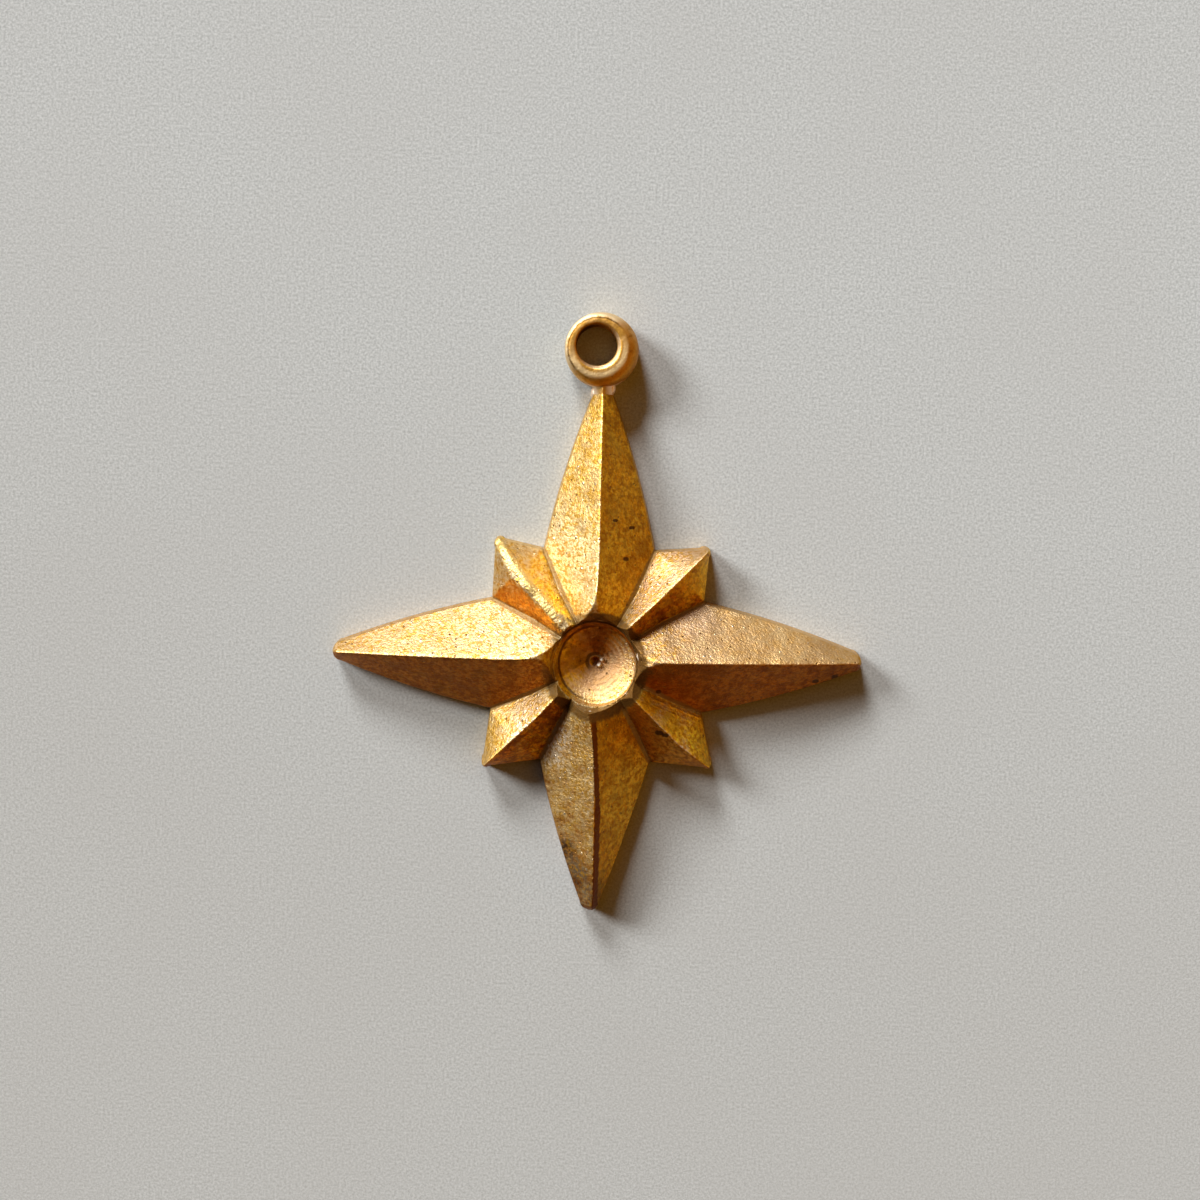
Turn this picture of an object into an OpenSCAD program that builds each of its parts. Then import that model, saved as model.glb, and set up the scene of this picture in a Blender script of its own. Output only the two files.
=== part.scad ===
// Eight-rayed star charm, cast in brass and gilded, lying on its flat back.
// The origin is on the back under the star's centre, +Y runs up to the eye and
// +Z out of the front. All lengths are in millimetres.

/* [Long rays] */
// Reach of the east and west rays from the star's centre
cross_reach = 10.15; // [9.6:0.05:10.8]
// Reach of the south ray
south_reach = 9.85; // [9.4:0.05:10.6]
// Reach of the north ray, up to the neck that carries the eye
north_reach = 9.95; // [9.4:0.05:10.6]
// Half width of a long ray where its tip starts to round over
long_tip_half = 0.42; // [0.3:0.02:0.6]
// How far a long ray's sides bulge out past a straight taper
long_belly = 0.13; // [0:0.01:0.25]
// Length of a long ray's rounded nose
long_nose = 0.32; // [0.2:0.02:0.5]
// Ridge height that the long rays would reach at the star's centre
centre_height = 3; // [2.6:0.05:3.4]
// Ridge height at a long ray's tip
long_tip_height = 1.4; // [1.2:0.05:2]

/* [Short rays] */
// Reach of the two upper short rays
upper_reach = 5.95; // [5.6:0.05:6.6]
// Reach of the two lower short rays
lower_reach = 6.1; // [5.6:0.05:6.8]
// Clockwise lean of the northwest ray's tip, seen from the front
northwest_lean = 0.34; // [0:0.02:0.4]
// Anticlockwise lean of the southeast ray's tip
southeast_lean = 0.2; // [0:0.02:0.4]
// Half width of a short ray where its tip starts to round over
short_tip_half = 0.26; // [0.16:0.02:0.4]
// Length of a short ray's rounded nose
short_nose = 0.24; // [0.14:0.02:0.36]
// Ridge height where a short ray leaves the hub
short_root_height = 2.4; // [2.1:0.05:2.6]
// Ridge height at a short ray's tip
short_tip_height = 1.6; // [1.2:0.05:1.8]

/* [Sides and valleys] */
// Distance of a notch from the star's centre, along the long ray beside it
notch_along = 4.1; // [3.8:0.05:4.4]
// Half width of a long ray at its notches
notch_half = 2.15; // [1.95:0.05:2.35]
// Height of the side walls at the notches
edge_height = 0.6; // [0.4:0.05:0.8]
// Height of the side walls at the tips
tip_edge_height = 0.85; // [0.6:0.05:1]
// How far a side wall leans in from the back to its upper edge
wall_draft = 0.12; // [0.04:0.01:0.2]
// Half width of the worn round along each ridge
crest_half = 0.1; // [0.04:0.01:0.16]

/* [Hub] */
// Distance from the star's centre to where a long ray leaves the hub
hub_flat = 2.5; // [2.4:0.05:2.8]
// Half width of a long ray where it leaves the hub
hub_half = 1.47; // [1.3:0.02:1.6]
// Height of the valleys where they leave the hub
valley_height = 1.38; // [1.1:0.02:1.6]

/* [Stone seat] */
// Radius of the stone seat's straight wall
seat_r = 1.6; // [1.4:0.05:1.7]
// Depth of the straight wall
seat_wall = 0.4; // [0.25:0.05:0.6]
// Depth of the conical floor below the wall
seat_cone = 0.95; // [0.6:0.05:1.1]
// Height of the seat's rim above the back
rim_height = 1.97; // [1.85:0.02:2.1]
// Width of the level land round the seat
rim_land = 0.07; // [0.03:0.01:0.12]
// Distance of the seat's axis from the star's centre, towards the south ray
seat_south = 0.17; // [0:0.01:0.2]
// Distance of the seat's axis from the star's centre, towards the west ray
seat_west = 0.07; // [0:0.01:0.1]
// Height of the steep wall that the rays' inner ends make above the land
dish_wall = 0.6; // [0.3:0.05:0.7]
// How far that wall leans out from its foot to its top
dish_wall_run = 0.1; // [0.05:0.01:0.2]
// How far out past the land the rays' ridges start to round down to the wall
dish_reach = 0.55; // [0.4:0.05:0.9]

/* [Hanging eye] */
// Radius of the ball that the eye is drilled in
ball_r = 1.41; // [1.3:0.01:1.6]
// How far the ball lies off the star's axis, towards the west
ball_west = 0.07; // [0:0.01:0.12]
// Thickness of the ball between its flat front and back
eye_thick = 1.67; // [1.4:0.02:2]
// Radius of the eye's hole
eye_hole_r = 0.775; // [0.6:0.025:0.9]
// How far the hole lies off the ball's axis, towards the west
eye_hole_west = 0.2; // [0:0.02:0.24]
// How far the hole lies off the ball's axis, away from the star
eye_hole_up = 0.1; // [0:0.02:0.16]
// Size of the chamfer at both mouths of the hole
eye_chamfer = 0.1; // [0.04:0.01:0.14]
// Clear length of the neck between the north ray and the ball
neck_len = 0.25; // [0.15:0.01:0.4]
// Radius of the casting nubs beside the neck
nub_r = 0.13; // [0.08:0.01:0.16]

/* [Hidden] */
$fn = 96;
// Overrun of every cut past the face that it leaves
cut_over = 0.5;
// Turn from one ray to the next
ray_turn = 45;
// Places along the valley and along a ray's free sides, as shares of each
valley_shares = [0, 0.2, 0.4, 0.6, 0.8, 1];
side_shares = [0, 0.12, 0.25, 0.38, 0.5, 0.62, 0.75, 0.88, 1];
// Turns round a tip's nose
nose_turns = [18, 36, 52, 66, 78];
// How much of its height a nose keeps at its end
nose_height_share = 0.45;
// Points across a facet, as shares of the way from its ridge to its edge
facet_shares = [1, 0.75, 0.5, 0.25];
// Most of a facet that the ridge's round may take, and how deep that round is
crest_limit_share = 0.2;
crest_drop_share = 0.5;
// Rings of the brow above the dish's wall, as shares of the way in from its outer end
brow_shares = [0, 0.25, 0.5, 0.75, 1];
// Most of the way from the land to the rays' roots that the dish may take
dish_limit_share = 0.9;
// Where the nubs sit: in radii past the neck's start, and up the ball's thickness
nub_along_share = 1.7;
nub_height_share = 0.5;
// How far the neck runs into the ball before the ball cuts it, as a share of its radius
neck_seat_share = 0.4;
// Points in one section of a ray, and the one of them on its crest
section_n = 2 * len(facet_shares) + 5;
crest_i = len(facet_shares) + 2;

gold = "goldenrod";
ball_centre = [-ball_west, north_reach + neck_len + ball_r, eye_thick / 2];
hole_centre = [ball_centre.x - eye_hole_west, ball_centre.y + eye_hole_up];
nub_x = long_tip_half - wall_draft / 2;
nub_y = north_reach + nub_r * nub_along_share;
nub_z = eye_thick * nub_height_share;
seat_centre = [-seat_west, -seat_south];
seat_floor = rim_height - seat_wall;
land_r = seat_r + rim_land;
hub_corner = [hub_half, hub_flat];
notch = [notch_half, notch_along];
valley_run = norm(notch - hub_corner);
valley_dir = (notch - hub_corner) / valley_run;
// The walls' upper edges meet this far inside the notch
notch_inset = wall_draft / valley_dir.x;
valley_end = notch - valley_dir * min(notch_inset, valley_run / 2);

function mix(a, b, t) = a + (b - a) * t;

// Point of the valley line in a long ray's frame, from the hub to the notch
function valley(t) = [
    mix(hub_corner.x, valley_end.x, t),
    mix(hub_corner.y, valley_end.y, t),
    mix(valley_height, edge_height, t)
];

// The same plan point in the frame of the short ray beside it
function in_short(p) = [(p.y - p.x) * sin(ray_turn), (p.x + p.y) * cos(ray_turn)];

// Ridge height of a long or a short ray at a distance from the centre
function ridge(r, reach, is_long) =
    let (root = in_short(hub_corner).y)
    is_long
        ? mix(centre_height, long_tip_height, pow(r / reach, 2))
        : mix(short_root_height, short_tip_height, (r - root) / (reach - root));

// A station is [distance along the ray, half width at the back, half width at
// the upper edges, height of those edges, height of the ridge]
function valley_stations(reach, is_long) = [
    for (t = valley_shares)
    let (v = valley(t))
    let (p = is_long ? v : in_short(v))
    [p.y, p.x, p.x, v.z, ridge(p.y, reach, is_long)]
];

// The stations of a ray's free sides, from its notches to its tip
function free_stations(start, reach, nose, tip_half, belly, is_long) = [
    for (t = side_shares)
    let (r = mix(start.y, reach - nose, t))
    let (half = mix(start.x, tip_half, t) + belly * 4 * t * (1 - t))
    [r, half, half - wall_draft, mix(edge_height, tip_edge_height, t), ridge(r, reach, is_long)]
];

// The stations round a tip's nose, from the last station of its sides
function nose_stations(last, nose) = [
    for (a = nose_turns)
    let (fall = mix(1, nose_height_share, 1 - cos(a)))
    [last[0] + nose * sin(a), last[1] * cos(a), last[2] * cos(a), last[3] * fall, last[4] * fall]
];

// Height that the rays' inner ends may reach at a distance from the seat's axis:
// up the steep wall first, then over its rounded brow
function dish_height(d) =
    let (out = max(0, d - land_r))
    let (wall_top = rim_height + dish_wall)
    let (top = ridge(land_r + dish_reach, cross_reach, true))
    let (t = (out - dish_wall_run) / (dish_reach - dish_wall_run))
    t >= 1 ? centre_height
    : t > 0 ? mix(wall_top, top, 1 - pow(1 - t, 2))
    : mix(rim_height, wall_top, out / dish_wall_run);

// A point turned clockwise to a ray's heading
function turned(p, heading) = [
    p.x * cos(heading) + p.y * sin(heading),
    p.y * cos(heading) - p.x * sin(heading),
    p.z
];

// A point of a ray's top, let down where the ray rounds down to the seat
function let_down(p, heading) =
    let (place = turned(p, heading))
    [p.x, p.y, min(p.z, dish_height(norm([place.x, place.y] - seat_centre)))];

// Top points of one station, from its left edge over the crest to its right edge
function top_points(s, heading) =
    let (crest = [0, s[0], s[4]])
    let (round_share = min(crest_half / s[2], crest_limit_share))
    let (drop = (s[4] - s[3]) * round_share * crest_drop_share)
    let (left = [-s[2], s[0], s[3]])
    let (right = [s[2], s[0], s[3]])
    let (shares = concat(facet_shares, [round_share]))
    let (last = len(shares) - 1)
    [
        for (p = concat(
            [for (t = shares) mix(crest, left, t)],
            [crest - [0, 0, drop]],
            [for (i = [last : -1 : 0]) mix(crest, right, shares[i])]
        ))
        let_down(p, heading)
    ];

// Whole section of one station, with the two points of its back
function section(s, heading) =
    concat([[-s[1], s[0], 0]], top_points(s, heading), [[s[1], s[0], 0]]);

// Leans a section's points sideways, by more the nearer they are to the tip
function leaned(points, from, to, lean) = [
    for (p = points)
    p + [lean * max(0, p.y - from) / (to - from), 0, 0]
];

// Solid through a row of sections, its faces split alike on both sides of the ridge
module loft(rows) {
    count = len(rows);
    points = [for (row = rows) for (p = row) p];
    skin = [
        for (i = [0 : count - 2])
        for (j = [0 : section_n - 1])
        let (k = (j + 1) % section_n)
        let (a = i * section_n + j)
        let (b = i * section_n + k)
        let (c = b + section_n)
        let (d = a + section_n)
        each j < crest_i ? [[a, d, b], [b, d, c]] : [[a, d, c], [a, c, b]]
    ];
    start_cap = [for (j = [0 : section_n - 1]) j];
    end_cap = [for (j = [section_n - 1 : -1 : 0]) (count - 1) * section_n + j];
    polyhedron(points = points, faces = concat([start_cap], skin, [end_cap]));
}

function long_stations(reach, nose) = concat(
    valley_stations(reach, true),
    free_stations(notch, reach, nose, long_tip_half, long_belly, true)
);

function short_stations(reach) = concat(
    valley_stations(reach, false),
    free_stations(in_short(notch), reach, short_nose, short_tip_half, 0, false)
);

module long_ray(heading, reach) {
    sides = long_stations(reach, long_nose);
    nose = nose_stations(sides[len(sides) - 1], long_nose);
    rotate([0, 0, -heading])
        loft([for (s = concat(sides, nose)) section(s, heading)]);
}

module short_ray(heading, reach, lean) {
    sides = short_stations(reach);
    nose = nose_stations(sides[len(sides) - 1], short_nose);
    start = in_short(notch).y;
    rotate([0, 0, -heading])
        loft([for (s = concat(sides, nose)) leaned(section(s, heading), start, reach, lean)]);
}

module north_ray() {
    // The north ray ends square, where the neck takes over
    color(gold)
        loft([for (s = long_stations(north_reach, 0)) section(s, 0)]);
}

module northeast_ray() {
    color(gold) short_ray(1 * ray_turn, upper_reach, 0);
}

module east_ray() {
    color(gold) long_ray(2 * ray_turn, cross_reach);
}

module southeast_ray() {
    color(gold) short_ray(3 * ray_turn, lower_reach, -southeast_lean);
}

module south_ray() {
    color(gold) long_ray(4 * ray_turn, south_reach);
}

module southwest_ray() {
    color(gold) short_ray(5 * ray_turn, lower_reach, 0);
}

module west_ray() {
    color(gold) long_ray(6 * ray_turn, cross_reach);
}

module northwest_ray() {
    color(gold) short_ray(7 * ray_turn, upper_reach, northwest_lean);
}

// The eight rays' reaches, in order round the hub from the north
reaches = [
    north_reach, upper_reach, cross_reach, lower_reach,
    south_reach, lower_reach, cross_reach, upper_reach
];

// The hub's upper rim: the top points of the rays' roots, each corner once
hub_rim = [
    for (i = [0 : len(reaches) - 1])
    let (root = valley_stations(reaches[i], i % 2 == 0)[0])
    let (points = top_points(root, i * ray_turn))
    for (j = [0 : len(points) - 2])
    turned(points[j], i * ray_turn)
];

// Point on the hub's top inside a point of its rim, at a distance out from the land.
// The valleys climb to the land, and the ridges stay level until they round down.
function hub_point(p, out) =
    let (flat = [p.x, p.y] - seat_centre)
    let (d = norm(flat))
    let (limit = dish_limit_share * (d - land_r))
    let (r = land_r + out * min(1, limit / dish_reach))
    let (t = (d - r) / (d - land_r))
    let (xy = seat_centre + flat / d * r)
    let (climb = (centre_height - rim_height) / (centre_height - valley_height))
    let (inner_z = rim_height + (p.z - valley_height) * climb)
    [xy.x, xy.y, min(mix(p.z, inner_z, t), dish_height(r))];

module hub_body() {
    n = len(hub_rim);
    outs = concat([for (t = brow_shares) mix(dish_reach, dish_wall_run, t)], [0]);
    rings = concat(
        [[for (p = hub_rim) [p.x, p.y, 0]], hub_rim],
        [for (out = outs) [for (p = hub_rim) hub_point(p, out)]]
    );
    last = len(rings) - 1;
    back_i = len(rings) * n;
    top_i = back_i + 1;
    points = concat(
        [for (ring = rings) for (p = ring) p],
        [[0, 0, 0], [seat_centre.x, seat_centre.y, rim_height]]
    );
    skin = [
        for (i = [0 : last - 1])
        for (j = [0 : n - 1])
        let (k = (j + 1) % n)
        each [
            [i * n + j, i * n + k, (i + 1) * n + k],
            [i * n + j, (i + 1) * n + k, (i + 1) * n + j]
        ]
    ];
    back = [for (j = [0 : n - 1]) [back_i, (j + 1) % n, j]];
    top = [for (j = [0 : n - 1]) [top_i, last * n + j, last * n + (j + 1) % n]];
    polyhedron(points = points, faces = concat(back, skin, top));
}

// Stone seat: a straight wall over a drill-point cone
module seat_cut() {
    translate([seat_centre.x, seat_centre.y, seat_floor])
        cylinder(r = seat_r, h = seat_wall + cut_over);
    translate([seat_centre.x, seat_centre.y, seat_floor - seat_cone])
        cylinder(r1 = 0, r2 = seat_r, h = seat_cone);
}

module hub() {
    color(gold)
    difference() {
        hub_body();
        seat_cut();
    }
}

// The ball and its two flats
module ball() {
    intersection() {
        translate(ball_centre) sphere(r = ball_r);
        translate([ball_centre.x, ball_centre.y, 0]) cylinder(r = ball_r + cut_over, h = eye_thick);
    }
}

module hanging_eye() {
    mouth_r = eye_hole_r + eye_chamfer;
    color(gold)
    difference() {
        ball();
        translate([hole_centre.x, hole_centre.y, -cut_over])
            cylinder(r = eye_hole_r, h = eye_thick + 2 * cut_over);
        translate([hole_centre.x, hole_centre.y, eye_thick - eye_chamfer])
            cylinder(r1 = eye_hole_r, r2 = mouth_r, h = eye_chamfer);
        translate([hole_centre.x, hole_centre.y, 0])
            cylinder(r1 = mouth_r, r2 = eye_hole_r, h = eye_chamfer);
    }
}

// The neck carries the north ray's end section into the ball
module neck() {
    stations = long_stations(north_reach, 0);
    end = stations[len(stations) - 1];
    seat_y = ball_centre.y - ball_r * (1 - neck_seat_share);
    color(gold)
    difference() {
        union() {
            loft([section(end, 0), [for (p = section(end, 0)) [p.x, seat_y, p.z]]]);
            for (side = [-1, 1])
                translate([side * nub_x, nub_y, nub_z])
                    rotate([0, 90, 0])
                        sphere(r = nub_r);
        }
        translate(ball_centre) sphere(r = ball_r);
    }
}

hub();
north_ray();
northeast_ray();
east_ray();
southeast_ray();
south_ray();
southwest_ray();
west_ray();
northwest_ray();
neck();
hanging_eye();
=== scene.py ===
import math

import bpy
import numpy as np
from mathutils import Matrix, Vector


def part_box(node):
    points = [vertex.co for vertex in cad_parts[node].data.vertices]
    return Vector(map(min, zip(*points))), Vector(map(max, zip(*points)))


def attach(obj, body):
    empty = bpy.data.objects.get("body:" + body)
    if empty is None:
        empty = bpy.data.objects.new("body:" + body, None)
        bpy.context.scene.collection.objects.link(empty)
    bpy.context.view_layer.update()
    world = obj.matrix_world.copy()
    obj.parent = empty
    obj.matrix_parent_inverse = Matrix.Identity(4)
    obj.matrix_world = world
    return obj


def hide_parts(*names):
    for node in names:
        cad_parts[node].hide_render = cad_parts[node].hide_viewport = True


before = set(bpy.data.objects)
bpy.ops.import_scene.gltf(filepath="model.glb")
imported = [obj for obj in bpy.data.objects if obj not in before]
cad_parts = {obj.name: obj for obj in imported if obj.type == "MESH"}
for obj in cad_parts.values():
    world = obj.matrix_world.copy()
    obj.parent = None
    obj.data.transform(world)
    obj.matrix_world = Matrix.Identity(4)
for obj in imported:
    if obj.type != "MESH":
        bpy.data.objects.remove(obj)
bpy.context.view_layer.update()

# The charm's lengths are written in millimetres, and turned to metres where a mesh is built
MM = 0.001


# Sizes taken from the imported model
def node_box(node):
    low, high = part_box(node)
    return np.array(low) / MM, np.array(high) / MM


hub_high = node_box("hub")[1]
eye_low, eye_high = node_box("hanging_eye")
NORTH_REACH = node_box("neck")[0][1]
SOUTH_REACH = -node_box("south_ray")[0][1]
EAST_REACH = node_box("east_ray")[1][0]
WEST_REACH = -node_box("west_ray")[0][0]
HUB_FLAT = hub_high[1]
STAR_TOP = hub_high[2]
BALL_R = (eye_high[0] - eye_low[0]) / 2
EYE_CENTRE = (eye_low + eye_high) / 2
EYE_THICK = eye_high[2] - eye_low[2]

# Sizes of the rays, as in the model
UPPER_REACH = 5.95
LOWER_REACH = 6.1
LONG_TIP_HALF = 0.42
SHORT_TIP_HALF = 0.26
LONG_BELLY = 0.13
LONG_NOSE = 0.32
SHORT_NOSE = 0.24
CENTRE_HEIGHT = 3.0
LONG_TIP_HEIGHT = 1.4
SHORT_ROOT_HEIGHT = 2.4
SHORT_TIP_HEIGHT = 1.6
NOTCH = np.array([2.15, 4.1])
HUB_CORNER = np.array([1.47, HUB_FLAT])
VALLEY_HEIGHT = 1.38
EDGE_HEIGHT = 0.6
TIP_EDGE_HEIGHT = 0.85
WALL_DRAFT = 0.06
NOSE_HEIGHT_SHARE = 0.45
BOW_RUN = 1.5
BOW_LIMIT = 1.5

# Sizes of the dish, the stone seat and its pip
SEAT_CENTRE = np.array([-0.06, -0.19])
SEAT_R = 1.6
SEAT_SQUEEZE = 1.035
SEAT_WALL = 0.4
SEAT_WALL_IN = 0.12
SEAT_WALL_LEAN = np.array([0.07, -0.05])
SEAT_CONE = 0.82
RIM_HEIGHT = 1.97
LAND_R = 1.66
DISH_HEIGHT = 0.98
DISH_WALL = 0.42
DISH_WALL_SOUTH = 1.15
DISH_WALL_RUN = 0.06
DISH_BROW_RUN = 0.42
DISH_RISE = 0.5
# The dish is steeper where it faces south: from which share of south, and how fast
SOUTH_START = 0.7
SOUTH_GROWTH = 4
# Directions from the seat's axis fade within this distance
AXIS_FADE = 0.5
PIP_R = 0.12
PIP_DEPTH = 0.12
PIP_LIP_R = 0.2
PIP_LIP = 0.03
PIP_LIP_WIDTH = 0.06
# The turned rings: how far apart, how deep, where they start, and how they show on the lit side
TURNED_STEP = 0.19
TURNED_DEPTH = 0.008
TURNED_START = 0.3
TURNED_MEAN = 0.55
TURNED_SWING = 0.5
TURNED_LEAST = 0.1

# How round a crest is: half width, and power of its curve
CREST = (0.05, 2)
BLUNT_CREST = (0.19, 4)
# How soft the casting's other edges are
EDGE_ROUND = 0.24
VALLEY_ROUND = 0.08
DISH_ROUND = 0.1
RIM_ROUND = 0.05
TOP_ROUND = 0.03
# Unevenness fades below this height, so that the outline stays clean
FOOT_FADE = 0.5
# How far the seat's rounding reaches past its land
SEAT_MARGIN = 0.1

# How uneven the casting is: wavelengths and heights of its slow waves
WAVE_COUNT = 26
WAVE_LENGTHS = (0.7, 2.6)
WAVE_HEIGHT = 0.011
DIMPLE_COUNT = 30
DIMPLE_LENGTHS = (0.16, 0.45)
DIMPLE_HEIGHT = 0.0022

SQRT_HALF = math.sqrt(0.5)
rng = np.random.default_rng(8)


def mix(a, b, t):
    return a + (b - a) * t


def soft_min(a, b, k):
    h = np.maximum(k - np.abs(a - b), 0) / k
    return np.minimum(a, b) - h * h * k / 4


def soft_max(a, b, k):
    return -soft_min(-a, -b, k)


def unit(vectors):
    return vectors / np.linalg.norm(vectors, axis=-1, keepdims=True)


def in_short(p):
    """A place on the north ray's right, as half width and distance along the northeast ray."""
    return np.array([(p[1] - p[0]) * SQRT_HALF, (p[0] + p[1]) * SQRT_HALF])


class Ray:
    """One ray of the star: where it points, how far it reaches and how it is worn."""

    def __init__(
        self, node, heading, is_long, reach,
        lean=0.0, bow=0.0, tip_bow=0.0, left_belly=None, nose=None, crest=CREST,
    ):
        self.node = node
        self.sin = math.sin(math.radians(heading))
        self.cos = math.cos(math.radians(heading))
        self.is_long = is_long
        self.reach = reach
        self.lean = lean
        self.bow = bow
        self.tip_bow = tip_bow
        self.crest, self.crest_power = crest
        self.nose = nose
        if nose is None:
            self.nose = LONG_NOSE if is_long else SHORT_NOSE
        place = (lambda p: p) if is_long else in_short
        self.notch_half, self.notch_along = place(NOTCH)
        self.root_half, self.root_along = place(HUB_CORNER)
        inner = SEAT_R / np.linalg.norm(HUB_CORNER) * HUB_CORNER
        valley = [place(inner), place(HUB_CORNER), place(NOTCH)]
        self.valley_along = [p[1] for p in valley]
        self.valley_half = [p[0] for p in valley]
        self.valley_half[-1] -= WALL_DRAFT
        self.valley_height = [RIM_HEIGHT, VALLEY_HEIGHT, EDGE_HEIGHT]
        self.tip_half = LONG_TIP_HALF if is_long else SHORT_TIP_HALF
        self.belly = LONG_BELLY if is_long else 0.0
        self.left_belly = self.belly if left_belly is None else left_belly

    def local(self, x, y):
        """Distance along the ray and across it, positive on its clockwise side."""
        along = x * self.sin + y * self.cos
        across = x * self.cos - y * self.sin
        return along, across - self.shift(along)

    def world(self, along, across):
        across = across + self.shift(along)
        return along * self.sin + across * self.cos, along * self.cos - across * self.sin

    def shift(self, along):
        run = self.reach - self.notch_along
        return self.lean * np.maximum(0, along - self.notch_along) / run

    def side_share(self, along):
        return (along - self.notch_along) / (self.reach - self.nose - self.notch_along)

    def half(self, along, side=1):
        """Half width of the outline on one side, carried on straight inside the notches."""
        t = self.side_share(along)
        belly = np.where(np.asarray(side) < 0, self.left_belly, self.belly)
        inside = self.notch_half + (self.tip_half - self.notch_half + 4 * belly) * t
        outside = mix(self.notch_half, self.tip_half, t) + belly * 4 * t * (1 - t)
        return np.where(t < 0, inside, np.where(t > 1, self.tip_half, outside))

    def crest_place(self, along):
        """How far the crest lies to the side: it bows near the hub and leans to the tip."""
        near_hub = np.clip(1 - (along - self.root_along) / BOW_RUN, 0, BOW_LIMIT) ** 2
        return self.bow * near_hub + self.tip_bow * np.clip(self.side_share(along), 0, 1)

    def ridge(self, along):
        if self.is_long:
            t = np.minimum(along, self.reach) / self.reach
            return mix(CENTRE_HEIGHT, LONG_TIP_HEIGHT, t * t)
        t = (along - self.root_along) / (self.reach - self.root_along)
        return mix(SHORT_ROOT_HEIGHT, SHORT_TIP_HEIGHT, t)

    def height(self, x, y):
        """Height of this ray's facets, walls and nose over a point of the plan."""
        along, across = self.local(x, y)
        ridge = self.ridge(along)
        t = np.clip(self.side_share(along), 0, 1)
        edge = mix(EDGE_HEIGHT, TIP_EDGE_HEIGHT, t)
        half = self.half(along, across)
        inside = along < self.notch_along
        edge_half = np.where(
            inside, np.interp(along, self.valley_along, self.valley_half), half - WALL_DRAFT
        )
        edge_z = np.where(inside, np.interp(along, self.valley_along, self.valley_height), edge)
        power = self.crest_power
        crest = self.crest_place(along)
        off = (np.abs(across - crest) ** power + self.crest**power) ** (1 / power)
        roof = ridge - (ridge - edge_z) * off / (edge_half - np.sign(across - crest) * crest)
        depth = half - np.abs(across)
        if self.nose:
            out = np.maximum(0, along - (self.reach - self.nose)) / self.nose
            round_depth = self.tip_half * (1 - np.sqrt(out**2 + (across / self.tip_half) ** 2))
            depth = np.where(out > 0, round_depth, depth)
            roof = roof * mix(1, NOSE_HEIGHT_SHARE, 1 - np.sqrt(np.maximum(0, 1 - out**2)))
        wall = depth * edge / WALL_DRAFT
        return np.where(along < 0, -1.0, soft_min(roof, wall, EDGE_ROUND))


RAYS = [
    Ray("north_ray", 0, True, NORTH_REACH, bow=-0.08, nose=0.0),
    Ray("northeast_ray", 45, False, UPPER_REACH, bow=-0.03),
    Ray("east_ray", 90, True, EAST_REACH),
    Ray("southeast_ray", 135, False, LOWER_REACH, lean=-0.2),
    Ray("south_ray", 180, True, SOUTH_REACH, lean=0.08, bow=0.16, tip_bow=-0.13, left_belly=0.06),
    Ray("southwest_ray", 225, False, LOWER_REACH, bow=0.03),
    Ray("west_ray", 270, True, WEST_REACH, bow=0.08),
    Ray("northwest_ray", 315, False, UPPER_REACH, lean=0.34, crest=BLUNT_CREST),
]


def wave_set(count, lengths, height):
    """Seeded waves that together make an uneven surface: directions, phases and height."""
    length = np.exp(rng.uniform(math.log(lengths[0]), math.log(lengths[1]), count))
    turn = rng.uniform(0, 2 * math.pi, count)
    phase = rng.uniform(0, 2 * math.pi, count)
    turns = 2 * math.pi / length
    return turns * np.cos(turn), turns * np.sin(turn), phase, height * math.sqrt(2 / count)


CAST_WAVES = [
    wave_set(WAVE_COUNT, WAVE_LENGTHS, WAVE_HEIGHT),
    wave_set(DIMPLE_COUNT, DIMPLE_LENGTHS, DIMPLE_HEIGHT),
]


def unevenness(waves, x, y):
    total = np.zeros_like(x)
    for kx, ky, phase, height in waves:
        for a, b, p in zip(kx, ky, phase):
            total += height * np.sin(a * x + b * y + p)
    return total


# Casting pits and crumbs: place, half width, half height, and depth, negative for a crumb
PITS = [
    (0.58, 5.23, 0.11, 0.06, 0.04),
    (1.21, 4.96, 0.12, 0.07, 0.04),
    (1.01, 3.79, 0.09, 0.08, 0.03),
    (8.35, -0.74, 0.14, 0.09, 0.04),
    (9.1, -0.57, 0.13, 0.1, 0.04),
    (2.36, -1.2, 0.09, 0.08, 0.03),
    (2.42, -2.72, 0.15, 0.11, 0.05),
    (2.64, -2.8, 0.12, 0.09, 0.04),
    (1.56, 0.16, 0.1, 0.1, -0.12),
    (1.99, -0.14, 0.13, 0.06, -0.07),
    (0.13, 1.53, 0.11, 0.05, -0.08),
    (0.19, -0.1, 0.07, 0.06, -0.3),
    (0.08, -0.3, 0.09, 0.08, -0.3),
]
# How squarely a pit's sides fall
PIT_FALL = 1.5


def pitted(x, y):
    total = np.zeros_like(x)
    for px, py, wide, tall, depth in PITS:
        far = ((x - px) / wide) ** 2 + ((y - py) / tall) ** 2
        total += depth * np.exp(-(far**PIT_FALL))
    return total


# How far a mould line takes to rise at its ends
MOULD_LINE_END = 0.2
# Fine raised lines that the mould left beside three valleys: two ends, width and height
MOULD_LINES = [
    ((-2.02, 4.1), (-1.6, 3.4), 0.04, 0.012),
    ((-1.88, 4.12), (-1.45, 3.4), 0.04, 0.008),
    ((2.04, -1.41), (4.08, -2.32), 0.035, 0.03),
    ((2.0, -1.6), (3.7, -2.42), 0.03, 0.02),
    ((0.94, -2.72), (1.94, -3.96), 0.03, 0.02),
]


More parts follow.
